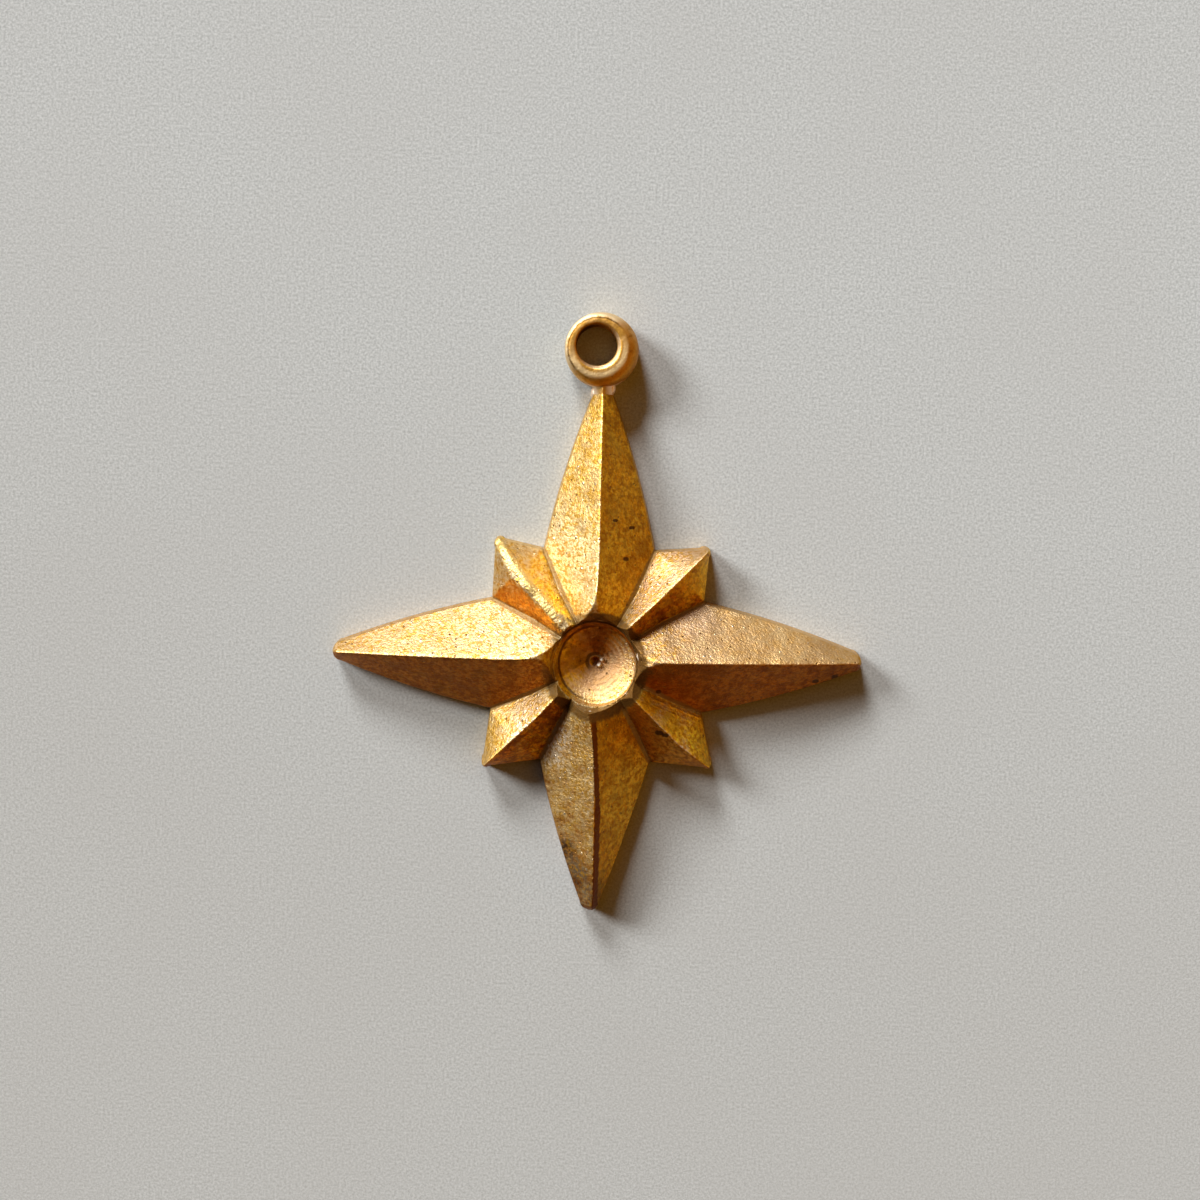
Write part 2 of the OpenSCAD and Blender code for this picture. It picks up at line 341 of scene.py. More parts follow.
def mould_lines(x, y):
    total = np.zeros_like(x)
    for (ax, ay), (bx, by), width, height in MOULD_LINES:
        run = math.hypot(bx - ax, by - ay)
        ux, uy = (bx - ax) / run, (by - ay) / run
        along = (x - ax) * ux + (y - ay) * uy
        across = (y - ay) * ux - (x - ax) * uy
        ends = np.clip(along / MOULD_LINE_END, 0, 1) * np.clip((run - along) / MOULD_LINE_END, 0, 1)
        total += height * ends * np.exp(-((across / width) ** 2))
    return total


def seat_distance(x, y):
    """Distance from the seat's axis, in the seat's slightly narrow round."""
    return np.hypot((x - SEAT_CENTRE[0]) * SEAT_SQUEEZE, y - SEAT_CENTRE[1])


def seat_heading(x, y):
    """Direction from the seat's axis, as shares of east and north. It fades close to the axis."""
    d = np.maximum(seat_distance(x, y), AXIS_FADE)
    return (x - SEAT_CENTRE[0]) / d, (y - SEAT_CENTRE[1]) / d


def dish(x, y):
    """Height that the rays' inner ends round down to. The dish is steeper on its south side."""
    out = np.maximum(0, seat_distance(x, y) - LAND_R)
    _, north = seat_heading(x, y)
    south = np.clip((-north - SOUTH_START) * SOUTH_GROWTH, 0, 1)
    wall = mix(DISH_WALL, DISH_WALL_SOUTH, south)
    brow = np.maximum(DISH_HEIGHT - wall, 0) * (1 - np.exp(-out / DISH_BROW_RUN))
    wall = wall * (1 - np.exp(-out / DISH_WALL_RUN))
    return RIM_HEIGHT + wall + brow + np.maximum(0, out - 2 * DISH_BROW_RUN) * DISH_RISE


def seat(x, y):
    """Height of the seat's wall, cone, turned rings and pip. The wall leans in more on one side."""
    d = seat_distance(x, y)
    east, north = seat_heading(x, y)
    foot = SEAT_R - SEAT_WALL_IN
    lean = east * SEAT_WALL_LEAN[0] + north * SEAT_WALL_LEAN[1]
    wall = RIM_HEIGHT + (d - SEAT_R) * SEAT_WALL / (SEAT_WALL_IN - lean)
    cone = RIM_HEIGHT - SEAT_WALL - (foot - d) * SEAT_CONE / foot
    lit = np.clip(TURNED_MEAN + TURNED_SWING * (east - north), TURNED_LEAST, 1)
    turned = TURNED_DEPTH * np.sin(2 * math.pi * d / TURNED_STEP) * np.clip(d / TURNED_START, 0, 1) * lit
    pip = PIP_DEPTH * np.exp(-((d / PIP_R) ** 3))
    lip = PIP_LIP * np.exp(-(((d - PIP_LIP_R) / PIP_LIP_WIDTH) ** 2))
    return soft_max(wall, cone + turned + lip - pip, RIM_ROUND)


def star_height(x, y):
    """Height of the whole star's front over places of its plan."""
    rays = np.sort(np.stack([ray.height(x, y) for ray in RAYS]), axis=0)
    top = soft_max(rays[-1], rays[-2], VALLEY_ROUND)
    fade = np.clip(top / FOOT_FADE, 0, 1)
    top = soft_min(top, dish(x, y), DISH_ROUND)
    top = top + (unevenness(CAST_WAVES, x, y) + mould_lines(x, y)) * fade
    top = soft_min(top, STAR_TOP, TOP_ROUND)
    by_seat = seat_distance(x, y) < LAND_R + SEAT_MARGIN
    top = np.where(by_seat, soft_min(top, seat(x, y), RIM_ROUND), top)
    return top - pitted(x, y) * fade


SLOPE_STEP = 0.004


def star_normals(x, y):
    """Directions that the star's front faces, from the slope of its height."""
    e = SLOPE_STEP
    dx = (star_height(x + e, y) - star_height(x - e, y)) / (2 * e)
    dy = (star_height(x, y + e) - star_height(x, y - e)) / (2 * e)
    return unit(np.stack([-dx, -dy, np.ones_like(dx)], axis=-1))


DOWN = (0, 0, -1)


class Skin:
    """Gathers points and faces of one piece, with the shading normal of each face corner."""

    def __init__(self):
        self.points = []
        self.normals = []
        self.faces = []
        self.corner_normals = []

    def add(self, points, normals=None):
        """Adds points and gives their numbers. Points with no normals serve flat faces only."""
        first = len(self.points)
        points = np.atleast_2d(points)
        self.points.extend(points)
        self.normals.extend(normals if normals is not None else [None] * len(points))
        return list(range(first, first + len(points)))

    def add_rows(self, x, y, z, normals):
        """Adds rows of points, and gives their numbers in the same rows."""
        points = np.stack([x, y, z], axis=-1)
        return np.reshape(self.add(points.reshape(-1, 3), normals.reshape(-1, 3)), x.shape)

    def face(self, corners, flat=None):
        self.faces.append(tuple(corners))
        for c in corners:
            self.corner_normals.append(self.normals[c] if flat is None else flat)

    def grid(self, rows, closed=False):
        """Faces between neighbouring rows. In a closed grid each row's end meets its start."""
        for low, high in zip(rows, rows[1:]):
            for j in range(len(low) if closed else len(low) - 1):
                k = (j + 1) % len(low)
                self.face((low[j], low[k], high[k], high[j]))

    def build(self, name):
        mesh = bpy.data.meshes.new(name)
        mesh.from_pydata([tuple(p * MM) for p in self.points], [], self.faces)
        mesh.shade_smooth()
        mesh.normals_split_custom_set([tuple(n) for n in self.corner_normals])
        piece = bpy.data.objects.new(name, mesh)
        bpy.context.collection.objects.link(piece)
        return piece


# Places across a ray: close together at the crest and at its edges
CREST_STEPS = np.array([0, 0.02, 0.045, 0.075, 0.11, 0.16, 0.22])
EDGE_STEPS = np.array([0.34, 0.26, 0.2, 0.16, 0.13, 0.1, 0.075, 0.05, 0.025, 0])
FACET_STEPS = 12
FULL_HALF = 0.9


def side_places(half):
    """Places from a ray's crest out to its edge, at that distance."""
    scale = min(1, half / FULL_HALF)
    crest = CREST_STEPS * scale
    edge = half - EDGE_STEPS * scale
    facet = np.linspace(crest[-1], edge[0], FACET_STEPS + 2)[1:-1]
    return np.concatenate([crest, facet, edge])


def across_places(ray, along, left, right):
    """Places across a ray, from its left edge over its crest to its right edge."""
    crest = float(ray.crest_place(along))
    return np.concatenate([crest - side_places(left + crest)[:0:-1], crest + side_places(right - crest)])


VALLEY_STEPS = 30
STATION_GAP = 0.05
NOSE_STEPS = 10


def ray_stations(ray):
    """Distances along a ray, with its left and right half widths: valleys, sides and nose."""
    rows = []
    for t in np.linspace(0, 1, VALLEY_STEPS + 1):
        half = mix(ray.root_half, ray.notch_half, t)
        rows.append((mix(ray.root_along, ray.notch_along, t), half, half))
    side_end = ray.reach - ray.nose
    count = int((side_end - ray.notch_along) / STATION_GAP)
    for t in np.linspace(0, 1, count + 1)[1:]:
        along = mix(ray.notch_along, side_end, t)
        rows.append((along, float(ray.half(along, -1)), float(ray.half(along))))
    if ray.nose:
        for a in np.linspace(0, math.pi / 2, NOSE_STEPS + 1)[1:-1]:
            half = ray.tip_half * math.cos(a)
            rows.append((side_end + ray.nose * math.sin(a), half, half))
    return rows


def ray_row(ray, along, left, right):
    """Places of the plan across a ray, as x and y."""
    across = across_places(ray, along, left, right)
    return np.array(ray.world(np.full_like(across, along), across))


def ray_plan(ray, rows):
    """Places of the plan in rows along a ray, as rows of x and rows of y."""
    return np.stack([ray_row(ray, *row) for row in rows], axis=1)


def close_ray(skin, ray, top, x, y):
    """A ray's flat back, its root and the two faces under its valleys. Gives the back's last corners."""
    feet = []
    for edge in (0, -1):
        low = np.stack([x[:VALLEY_STEPS, edge], y[:VALLEY_STEPS, edge], np.zeros(VALLEY_STEPS)], axis=-1)
        feet.append(skin.add(low) + list(top[VALLEY_STEPS:, edge]))
    left, right = feet
    for i in range(len(top) - 1):
        skin.face((left[i], left[i + 1], right[i + 1], right[i]), DOWN)
    for side, foot, edge in ((-1, left, 0), (1, right, -1)):
        out = (side * ray.cos, -side * ray.sin, 0)
        for i in range(VALLEY_STEPS):
            corners = [top[i, edge], top[i + 1, edge], foot[i + 1], foot[i]]
            if foot[i + 1] == top[i + 1, edge]:
                del corners[2]
            skin.face(corners[::-side], out)
    skin.face([left[0], right[0], *top[0, ::-1]], (-ray.sin, -ray.cos, 0))
    return left[-1], right[-1]


def close_tip(skin, ray, last, left, right):
    """A ray's end: the point of its round nose, or a plain face where the neck joins."""
    out = (ray.sin, ray.cos, 0)
    if not ray.nose:
        skin.face(last, out)
        return
    tip_x, tip_y = ray.world(ray.reach, 0.0)
    tip = skin.add([tip_x, tip_y, 0], [out])[0]
    for a, b in zip(last, last[1:]):
        skin.face((a, b, tip))
    skin.face((left, tip, right), DOWN)


def make_ray(ray):
    """A ray of the star, from its root at the hub to its tip."""
    skin = Skin()
    x, y = ray_plan(ray, ray_stations(ray))
    z = np.maximum(star_height(x, y), 0)
    z[VALLEY_STEPS:, [0, -1]] = 0
    top = skin.add_rows(x, y, z, star_normals(x, y))
    skin.grid(top)
    left, right = close_ray(skin, ray, top, x, y)
    close_tip(skin, ray, list(top[-1]), left, right)
    return skin.build(ray.node + "_casting")


HUB_RINGS = 34
SEAT_WALL_RINGS = 24
SEAT_RINGS = 64
SEAT_END_R = 0.012


def make_hub():
    """The hub, with the rays' inner ends and the stone seat."""
    skin = Skin()
    roots = [ray_row(ray, ray.root_along, ray.root_half, ray.root_half) for ray in RAYS]
    rim = np.concatenate([root[:, :-1] for root in roots], axis=1)
    far = seat_distance(*rim)
    heading = (rim.T - SEAT_CENTRE) / far[:, None]
    wall = np.linspace(LAND_R, SEAT_R - 2 * SEAT_WALL_IN, SEAT_WALL_RINGS)[1:]
    cone = np.linspace(wall[-1], SEAT_END_R, SEAT_RINGS)[1:]
    rings = [mix(LAND_R, far, t**2) for t in np.linspace(1, 0, HUB_RINGS + 1)]
    rings += [np.full_like(far, r) for r in (*wall, *cone)]
    plan = np.stack(rings)[:, :, None] * heading + SEAT_CENTRE
    x, y = plan[..., 0], plan[..., 1]
    top = skin.add_rows(x, y, star_height(x, y), star_normals(x, y))
    skin.grid(top[::-1], closed=True)
    skin.face(top[-1, ::-1], (0, 0, 1))
    low = np.stack([x[0], y[0], np.zeros_like(x[0])], axis=-1)
    feet = skin.add(low)
    for j in range(len(feet)):
        k = (j + 1) % len(feet)
        skin.face((feet[k], feet[j], top[0, j], top[0, k]), unit(low[j]))
    skin.face(feet, DOWN)
    return skin.build("hub_casting")


NECK_STEPS = 14
NECK_RUN = 0.62
NUB_TURNS = 24
# The two casting nubs: centre and half sizes
NUBS = [((-0.27, 10.0, 0.6), (0.2, 0.3, 0.3)), ((0.31, 10.2, 0.62), (0.17, 0.24, 0.28))]


def add_nub(skin, centre, halves):
    """A small round nub, left where the mould was filled."""
    turn = np.linspace(0, 2 * math.pi, NUB_TURNS, endpoint=False)
    halves = np.array(halves)
    rows = []
    for lift in np.linspace(-math.pi / 2, math.pi / 2, NUB_TURNS // 2 + 1)[1:-1]:
        round_x, round_y = np.cos(turn) * math.cos(lift), np.sin(turn) * math.cos(lift)
        ball = np.stack([round_x, round_y, np.full_like(turn, math.sin(lift))], axis=-1)
        rows.append(skin.add(np.array(centre) + ball * halves, unit(ball / halves)))
    skin.grid(rows, closed=True)
    skin.face(rows[0][::-1])
    skin.face(rows[-1])


def make_neck():
    """The neck between the north ray and the eye, with its two casting nubs."""
    skin = Skin()
    ray = RAYS[0]
    places = [ray.reach + NECK_RUN * t for t in np.linspace(0, 1, NECK_STEPS + 1)]
    x, y = ray_plan(ray, [(along, float(ray.half(along)), float(ray.half(along))) for along in places])
    z = star_height(x, y)
    z[:, [0, -1]] = 0
    top = skin.add_rows(x, y, z, star_normals(x, y))
    skin.grid(top)
    for near, far in zip(top, top[1:]):
        skin.face((near[0], far[0], far[-1], near[-1]), DOWN)
    skin.face(top[0, ::-1], (0, -1, 0))
    skin.face(top[-1], (0, 1, 0))
    for centre, halves in NUBS:
        add_nub(skin, centre, halves)
    return skin.build("neck_casting")


EYE_TURNS = 144
HOLE_R = 0.775
HOLE_OFF = np.array([-0.2, 0.16])
HOLE_CHAMFER = 0.09
MOUTH_OFF = np.array([0.05, -0.05])
HOLE_ROUND = 0.04
# The front flat lies off the ball's axis, because the ball was dressed by hand
FLAT_R = 1.1
FLAT_OFF = np.array([-0.13, 0.03])
FLAT_ROUND = 0.04
BALL_FULLNESS = 4
BALL_POLE = EYE_THICK / 2 / (1 - (FLAT_R / BALL_R) ** BALL_FULLNESS) ** (1 / BALL_FULLNESS)
EYE_INSET = 0.014
EYE_WAVE_COUNT = 12
EYE_WAVE_LENGTHS = (0.5, 1.8)
EYE_WAVE_HEIGHT = 0.004
EYE_WAVES = [wave_set(EYE_WAVE_COUNT, EYE_WAVE_LENGTHS, EYE_WAVE_HEIGHT)]
# How the eye's unevenness leans as it goes up
EYE_WAVE_LEAN = 0.7
EYE_SLOPE_STEP = 0.003
# Rings of points up the hole and down the ball's side
HOLE_RINGS = 14
SIDE_RINGS = 36
SIDE_MARGIN = 0.035
# Shares of the way over a chamfer and over a flat, closer together at their edges
CHAMFER_SHARES = [0.08, 0.16, 0.3, 0.5, 0.7, 0.84, 0.92, 1.0]
FLAT_SHARES = [0.06, 0.12, 0.25, 0.4, 0.55, 0.7, 0.82, 0.92, 1.0]
FLAT_MARGIN = 0.065
# Rings over a flat's worn edge, out from its radius
FLAT_EDGE_OUTS = [-0.045, -0.025, -0.005, 0.015, 0.035]


def eye_distance(p):
    """Distance to the eye's surface: a full, flattened ball with an off-centre hole."""
    q = p - EYE_CENTRE
    x, y, z = q[..., 0], q[..., 1], np.abs(q[..., 2])
    half = EYE_THICK / 2
    lift = np.clip(q[..., 2] / half, 0, 1)
    out = np.hypot(x - FLAT_OFF[0] * lift, y - FLAT_OFF[1] * lift)
    full = BALL_FULLNESS
    uneven = unevenness(EYE_WAVES, x + q[..., 2], y - EYE_WAVE_LEAN * q[..., 2])
    ball = BALL_R * (((out / BALL_R) ** full + (z / BALL_POLE) ** full) ** (1 / full) - 1)
    ball = soft_max(ball + uneven, np.hypot(x, y) - BALL_R + EYE_INSET + uneven / 2, FLAT_ROUND)
    outer = soft_max(ball, z - half + uneven / 2, FLAT_ROUND)
    from_axis = np.hypot(x - HOLE_OFF[0], y - HOLE_OFF[1])
    from_mouth = np.hypot(x - HOLE_OFF[0] - MOUTH_OFF[0], y - HOLE_OFF[1] - MOUTH_OFF[1])
    mouth = (HOLE_R + HOLE_CHAMFER - from_mouth + z - half) * SQRT_HALF
    inner = soft_max(HOLE_R - from_axis, mouth, HOLE_ROUND)
    return soft_max(outer, inner, HOLE_ROUND)


def slope_of(distance, p):
    e = EYE_SLOPE_STEP
    parts = []
    for axis in range(3):
        step = np.zeros(3)
        step[axis] = e
        parts.append((distance(p + step) - distance(p - step)) / (2 * e))
    return np.stack(parts, axis=-1)


SETTLE_ROUNDS = 8
LEAST_SLOPE = 0.1


def settle(distance, p):
    """Moves points onto the surface that a distance function gives."""
    for _ in range(SETTLE_ROUNDS):
        slope = slope_of(distance, p)
        steep = np.sum(slope**2, axis=-1, keepdims=True)
        p = p - distance(p)[..., None] * slope / np.maximum(steep, LEAST_SLOPE)
    return p


def eye_rings():
    """Rings of points close to the eye's surface: up its hole, over the front, down the side, back under."""
    half = EYE_THICK / 2
    theta = np.linspace(0, 2 * math.pi, EYE_TURNS, endpoint=False)
    circle = np.stack([np.cos(theta), np.sin(theta)], axis=-1)
    middle = EYE_CENTRE[:2]
    hole = middle + HOLE_OFF

    def ring(plan, z):
        return np.column_stack([plan, np.full(EYE_TURNS, EYE_CENTRE[2] + z)])

    def chamfer(t, side):
        plan = hole + MOUTH_OFF * t + circle * (HOLE_R + HOLE_CHAMFER * t)
        return ring(plan, side * (half - HOLE_CHAMFER * (1 - t)))

    def flat(centre, side):
        mouth = hole + MOUTH_OFF + circle * (HOLE_R + HOLE_CHAMFER)
        plans = [mix(mouth, centre + circle * (FLAT_R - FLAT_MARGIN), t) for t in FLAT_SHARES]
        plans += [centre + circle * (FLAT_R + out) for out in FLAT_EDGE_OUTS]
        return [ring(plan, side * half) for plan in plans]

    def ball_side(z):
        wide = (1 - (abs(z) / BALL_POLE) ** BALL_FULLNESS) ** (1 / BALL_FULLNESS)
        return ring(middle + FLAT_OFF * max(z, 0) / half + circle * (BALL_R * wide), z)

    in_hole = np.linspace(2 * HOLE_CHAMFER - half, half - 2 * HOLE_CHAMFER, HOLE_RINGS)
    rings = [ring(hole + circle * HOLE_R, z) for z in in_hole]
    rings += [chamfer(t, 1) for t in CHAMFER_SHARES]
    rings += flat(middle + FLAT_OFF, 1)
    rings += [ball_side(z) for z in np.linspace(1, -1, SIDE_RINGS) * (half - SIDE_MARGIN)]
    rings += flat(middle, -1)[::-1]
    rings += [chamfer(t, -1) for t in CHAMFER_SHARES[::-1]]
    return rings


def make_eye():
    """The drilled ball: its side, its two flats and its hole, with worn edges."""
    skin = Skin()
    rings = eye_rings()
    points = settle(eye_distance, np.concatenate(rings))
    points[:, 2] = np.clip(points[:, 2], eye_low[2], eye_high[2])
    skin.add(points, unit(slope_of(eye_distance, points)))
    columns = np.arange(len(points)).reshape(len(rings), EYE_TURNS).T
    skin.grid([*columns, columns[0]], closed=True)
    return skin.build("hanging_eye_casting")


# Kinds of sockets of the node groups that the finishes share
NUMBER = "NodeSocketFloat"
VECTOR = "NodeSocketVector"
COLOUR = "NodeSocketColor"
# Sockets of the node that mixes colours
MIX_FACTOR = 0
MIX_A = 6
MIX_B = 7
MIX_RESULT = 2


def new_group(name, inputs, outputs):
    """A node group, what it is given and what it gives. An input with no default is a place or direction."""
    group = bpy.data.node_groups.new(name, "ShaderNodeTree")
    for label, value in inputs.items():
        kind = VECTOR if value is None else NUMBER if isinstance(value, float) else COLOUR
        socket = group.interface.new_socket(label, in_out="INPUT", socket_type=kind)
        if value is not None:
            socket.default_value = value
    for label, kind in outputs.items():
        group.interface.new_socket(label, in_out="OUTPUT", socket_type=kind)
    given = group.nodes.new("NodeGroupInput")
    result = group.nodes.new("NodeGroupOutput")
    return group, given.outputs, result.inputs


def feed(tree, socket, value):
    """Gives a socket a plain value, or another node's output."""
    if isinstance(value, bpy.types.NodeSocket):
        tree.links.new(value, socket)
    elif value is not None:
        socket.default_value = value


def math_node(tree, operation, a, b=None, clamp=False):
    node = tree.nodes.new("ShaderNodeMath")
    node.operation = operation
    node.use_clamp = clamp
    feed(tree, node.inputs[0], a)
    feed(tree, node.inputs[1], b)
    return node.outputs[0]


def plus(tree, a, b, clamp=False):
    return math_node(tree, "ADD", a, b, clamp)


def minus(tree, a, b, clamp=False):
    return math_node(tree, "SUBTRACT", a, b, clamp)


def times(tree, a, b):
    return math_node(tree, "MULTIPLY", a, b)


def over(tree, a, b, clamp=False):
    return math_node(tree, "DIVIDE", a, b, clamp)


def most(tree, a, b):
    return math_node(tree, "MAXIMUM", a, b)


def vector_node(tree, operation, a, b=None, scale=None):
    node = tree.nodes.new("ShaderNodeVectorMath")
    node.operation = operation
    feed(tree, node.inputs[0], a)
    feed(tree, node.inputs[1], b)
    if scale is not None:
        feed(tree, node.inputs["Scale"], scale)
    gives_number = operation in ("DOT_PRODUCT", "DISTANCE")
    return node.outputs["Value" if gives_number else "Vector"]


def axes(tree, vector):
    """The X, Y and Z of a vector."""
    node = tree.nodes.new("ShaderNodeSeparateXYZ")
    feed(tree, node.inputs[0], vector)
    return tuple(node.outputs)


def noise_node(tree, place, scale, detail=4.0, rough=0.55):
    node = tree.nodes.new("ShaderNodeTexNoise")
    for label, value in (("Vector", place), ("Scale", scale), ("Detail", detail), ("Roughness", rough)):
        feed(tree, node.inputs[label], value)
    return node.outputs["Fac"]


def ramp_value(tree, value, low, high, out_low=0.0, out_high=1.0):
    """A smooth ramp from one value to another, falling where the first is the higher."""
    node = tree.nodes.new("ShaderNodeMapRange")
    node.interpolation_type = "SMOOTHSTEP"
    feed(tree, node.inputs["Value"], value)
    for label, number in (("From Min", low), ("From Max", high), ("To Min", out_low), ("To Max", out_high)):
        feed(tree, node.inputs[label], number)
    return node.outputs["Result"]


def patchy(tree, place, scale, low, high, detail=4.0, rough=0.6, least=0.0):
    """Soft-edged patches where noise goes from a low value to a high one."""
    return ramp_value(tree, noise_node(tree, place, scale, detail, rough), low, high, least)


def ragged(tree, place, scale, amount=1.0, detail=4.0, rough=0.65):
    """Noise about nought, which makes the edge of a mask ragged."""
    return times(tree, minus(tree, noise_node(tree, place, scale, detail, rough), 0.5), amount)


def mix_colour(tree, factor, a, b, blend="MIX"):
    node = tree.nodes.new("ShaderNodeMix")
    node.data_type = "RGBA"
    node.blend_type = blend
    feed(tree, node.inputs[MIX_FACTOR], factor)
    for number, colour in ((MIX_A, a), (MIX_B, b)):
        feed(tree, node.inputs[number], (*colour, 1.0) if isinstance(colour, tuple) else colour)
    return node.outputs[MIX_RESULT]


def millimetre_places():
    """Group that gives places on the object in millimetres."""
    group, _, result = new_group("millimetre places", {}, {"Place": VECTOR})
    coords = group.nodes.new("ShaderNodeTexCoord")
    place = vector_node(group, "SCALE", coords.outputs["Object"], scale=1 / MM)
    feed(group, result["Place"], place)
    return group


def cast_grain():
    """Group for the fine sandy grain of the mould, as a height in millimetres, and its hollows."""
    group, given, result = new_group(
        "cast grain",
        {"Place": None, "Grain Scale": 9.0, "Grain Depth": 0.03},
        {"Height": NUMBER, "Hollows": NUMBER},
    )
    grain = noise_node(group, given["Place"], given["Grain Scale"], detail=2.0)
    fine = noise_node(group, given["Place"], times(group, given["Grain Scale"], 2.4), detail=1.0)
    both = plus(group, grain, times(group, fine, 0.4))
    feed(group, result["Height"], times(group, both, given["Grain Depth"]))
    feed(group, result["Hollows"], ramp_value(group, both, 0.66, 0.54))
    return group


def sparse_dots():
    """Group for small round dots that lie here and there: pores or glints."""
    group, given, result = new_group(
        "sparse dots",
        {"Place": None, "Dot Scale": 5.0, "Dot Size": 0.25, "Share": 0.4},
        {"Mask": NUMBER},
    )
    cells = group.nodes.new("ShaderNodeTexVoronoi")
    feed(group, cells.inputs["Vector"], given["Place"])
    feed(group, cells.inputs["Scale"], given["Dot Scale"])
    near = over(group, cells.outputs["Distance"], given["Dot Size"])
    dot = ramp_value(group, near, 1.0, 0.45)
    channels = group.nodes.new("ShaderNodeSeparateColor")
    feed(group, channels.inputs["Color"], cells.outputs["Color"])
    chosen = math_node(group, "LESS_THAN", channels.outputs[0], given["Share"])
    feed(group, result["Mask"], times(group, dot, chosen))
    return group


def gilt_mottle():
    """Group for the colour of old gilding: pale where it is whole, warm in patches, brown in hollows."""
    group, given, result = new_group(
        "gilt mottle",
        {
            "Place": None,
            "Mottle Scale": 3.0,
            "Hollows": 0.0,
            "Pale": (0.86, 0.59, 0.22, 1),
            "Warm": (0.78, 0.46, 0.09, 1),
            "Brown": (0.3, 0.12, 0.015, 1),
        },
        {"Color": COLOUR, "Dullness": NUMBER},
    )
    place, scale = given["Place"], given["Mottle Scale"]
    warm = patchy(group, place, scale, low=0.42, high=0.58, rough=0.7)
    cloudy = patchy(group, place, times(group, scale, 0.2), low=0.45, high=0.65, detail=3.0)
    blots = patchy(group, place, times(group, scale, 1.4), low=0.55, high=0.7, rough=0.7)
    colour = mix_colour(group, warm, given["Pale"], given["Warm"])
    brown = plus(group, times(group, given["Hollows"], 0.3), times(group, cloudy, 0.25))
    brown = plus(group, brown, times(group, blots, 0.45), clamp=True)
    feed(group, result["Color"], mix_colour(group, brown, colour, given["Brown"]))
    feed(group, result["Dullness"], cloudy)
    return group


def stain():
    """Group for one ragged stain round a place."""
    group, given, result = new_group(
        "stain",
        {"Place": None, "Centre": None, "Radius": 0.5, "Raggedness": 0.6},
        {"Mask": NUMBER},
    )
    far = vector_node(group, "DISTANCE", given["Place"], given["Centre"])
    share = over(group, far, given["Radius"])
    edge = times(group, ragged(group, given["Place"], 2.6, given["Raggedness"]), 2.0)
    feed(group, result["Mask"], ramp_value(group, plus(group, share, edge), 1.1, 0.45))
    return group


def rim_dirt():
    """Group for the dark dirt that gathers outside the stone seat's rim, in the low places."""
    group, given, result = new_group(
        "rim dirt",
        {"Place": None, "Inner Radius": 1.6, "Reach": 0.6, "Top": 2.3},
        {"Mask": NUMBER},
    )
    plan = vector_node(group, "MULTIPLY", given["Place"], (1, 1, 0))
    out = vector_node(group, "DISTANCE", plan, (*SEAT_CENTRE, 0))
    out = minus(group, out, given["Inner Radius"])
    share = plus(group, over(group, out, given["Reach"]), ragged(group, given["Place"], 3.5))
    band = times(group, ramp_value(group, out, 0.0, 0.05), ramp_value(group, share, 1.0, 0.2))
    below = minus(group, given["Top"], axes(group, given["Place"])[2])
    feed(group, result["Mask"], times(group, band, ramp_value(group, below, -0.1, 0.2)))
    return group


def ring_mark():
    """Group for a ring that is stronger on the side that it leans to; it serves dirt, wear, painted shade
    and painted highlights.
    """
    group, given, result = new_group(
        "ring mark",
        {"Place": None, "Centre": None, "Squeeze": 1.0, "Radius": 1.4, "Half Width": 0.1, "Leans To": None},
        {"Mask": NUMBER},
    )
    out = vector_node(group, "SUBTRACT", given["Place"], given["Centre"])
    x, y, _ = axes(group, out)
    x = times(group, x, given["Squeeze"])
    far = math_node(group, "SQRT", plus(group, times(group, x, x), times(group, y, y)))
    off = math_node(group, "ABSOLUTE", minus(group, far, given["Radius"]))
    off = over(group, off, given["Half Width"])
    off = plus(group, off, ragged(group, given["Place"], 5.0, detail=3.0, rough=0.6))
    lean = over(group, vector_node(group, "DOT_PRODUCT", out, given["Leans To"]), given["Radius"])
    ring = times(group, ramp_value(group, off, 1.2, 0.5), ramp_value(group, lean, -0.4, 0.5))
    feed(group, result["Mask"], ring)
    return group


def shaded_side():
    """Group for painted shade on the sides that face a direction, with a ragged edge."""
    group, given, result = new_group(
        "painted shaded side",
        {"Place": None, "Towards": None, "Raggedness": 0.8},
        {"Mask": NUMBER},
    )
    coords = group.nodes.new("ShaderNodeTexCoord")
    facing = vector_node(group, "DOT_PRODUCT", coords.outputs["Normal"], given["Towards"])
    share = plus(group, facing, ragged(group, given["Place"], 2.6, given["Raggedness"], rough=0.7))
    feed(group, result["Mask"], ramp_value(group, share, 0.15, 0.55))
    return group


def folded_places():
    """Group that folds the plan's eight equal parts onto one, so that one line serves eight valleys."""
    group, given, result = new_group("folded places", {"Place": None}, {"Place": VECTOR})
    x, y, z = axes(group, vector_node(group, "ABSOLUTE", given["Place"]))
    join = group.nodes.new("ShaderNodeCombineXYZ")
    feed(group, join.inputs["X"], math_node(group, "MINIMUM", x, y))
    feed(group, join.inputs["Y"], most(group, x, y))
    feed(group, join.inputs["Z"], z)
    feed(group, result["Place"], join.outputs["Vector"])
    return group


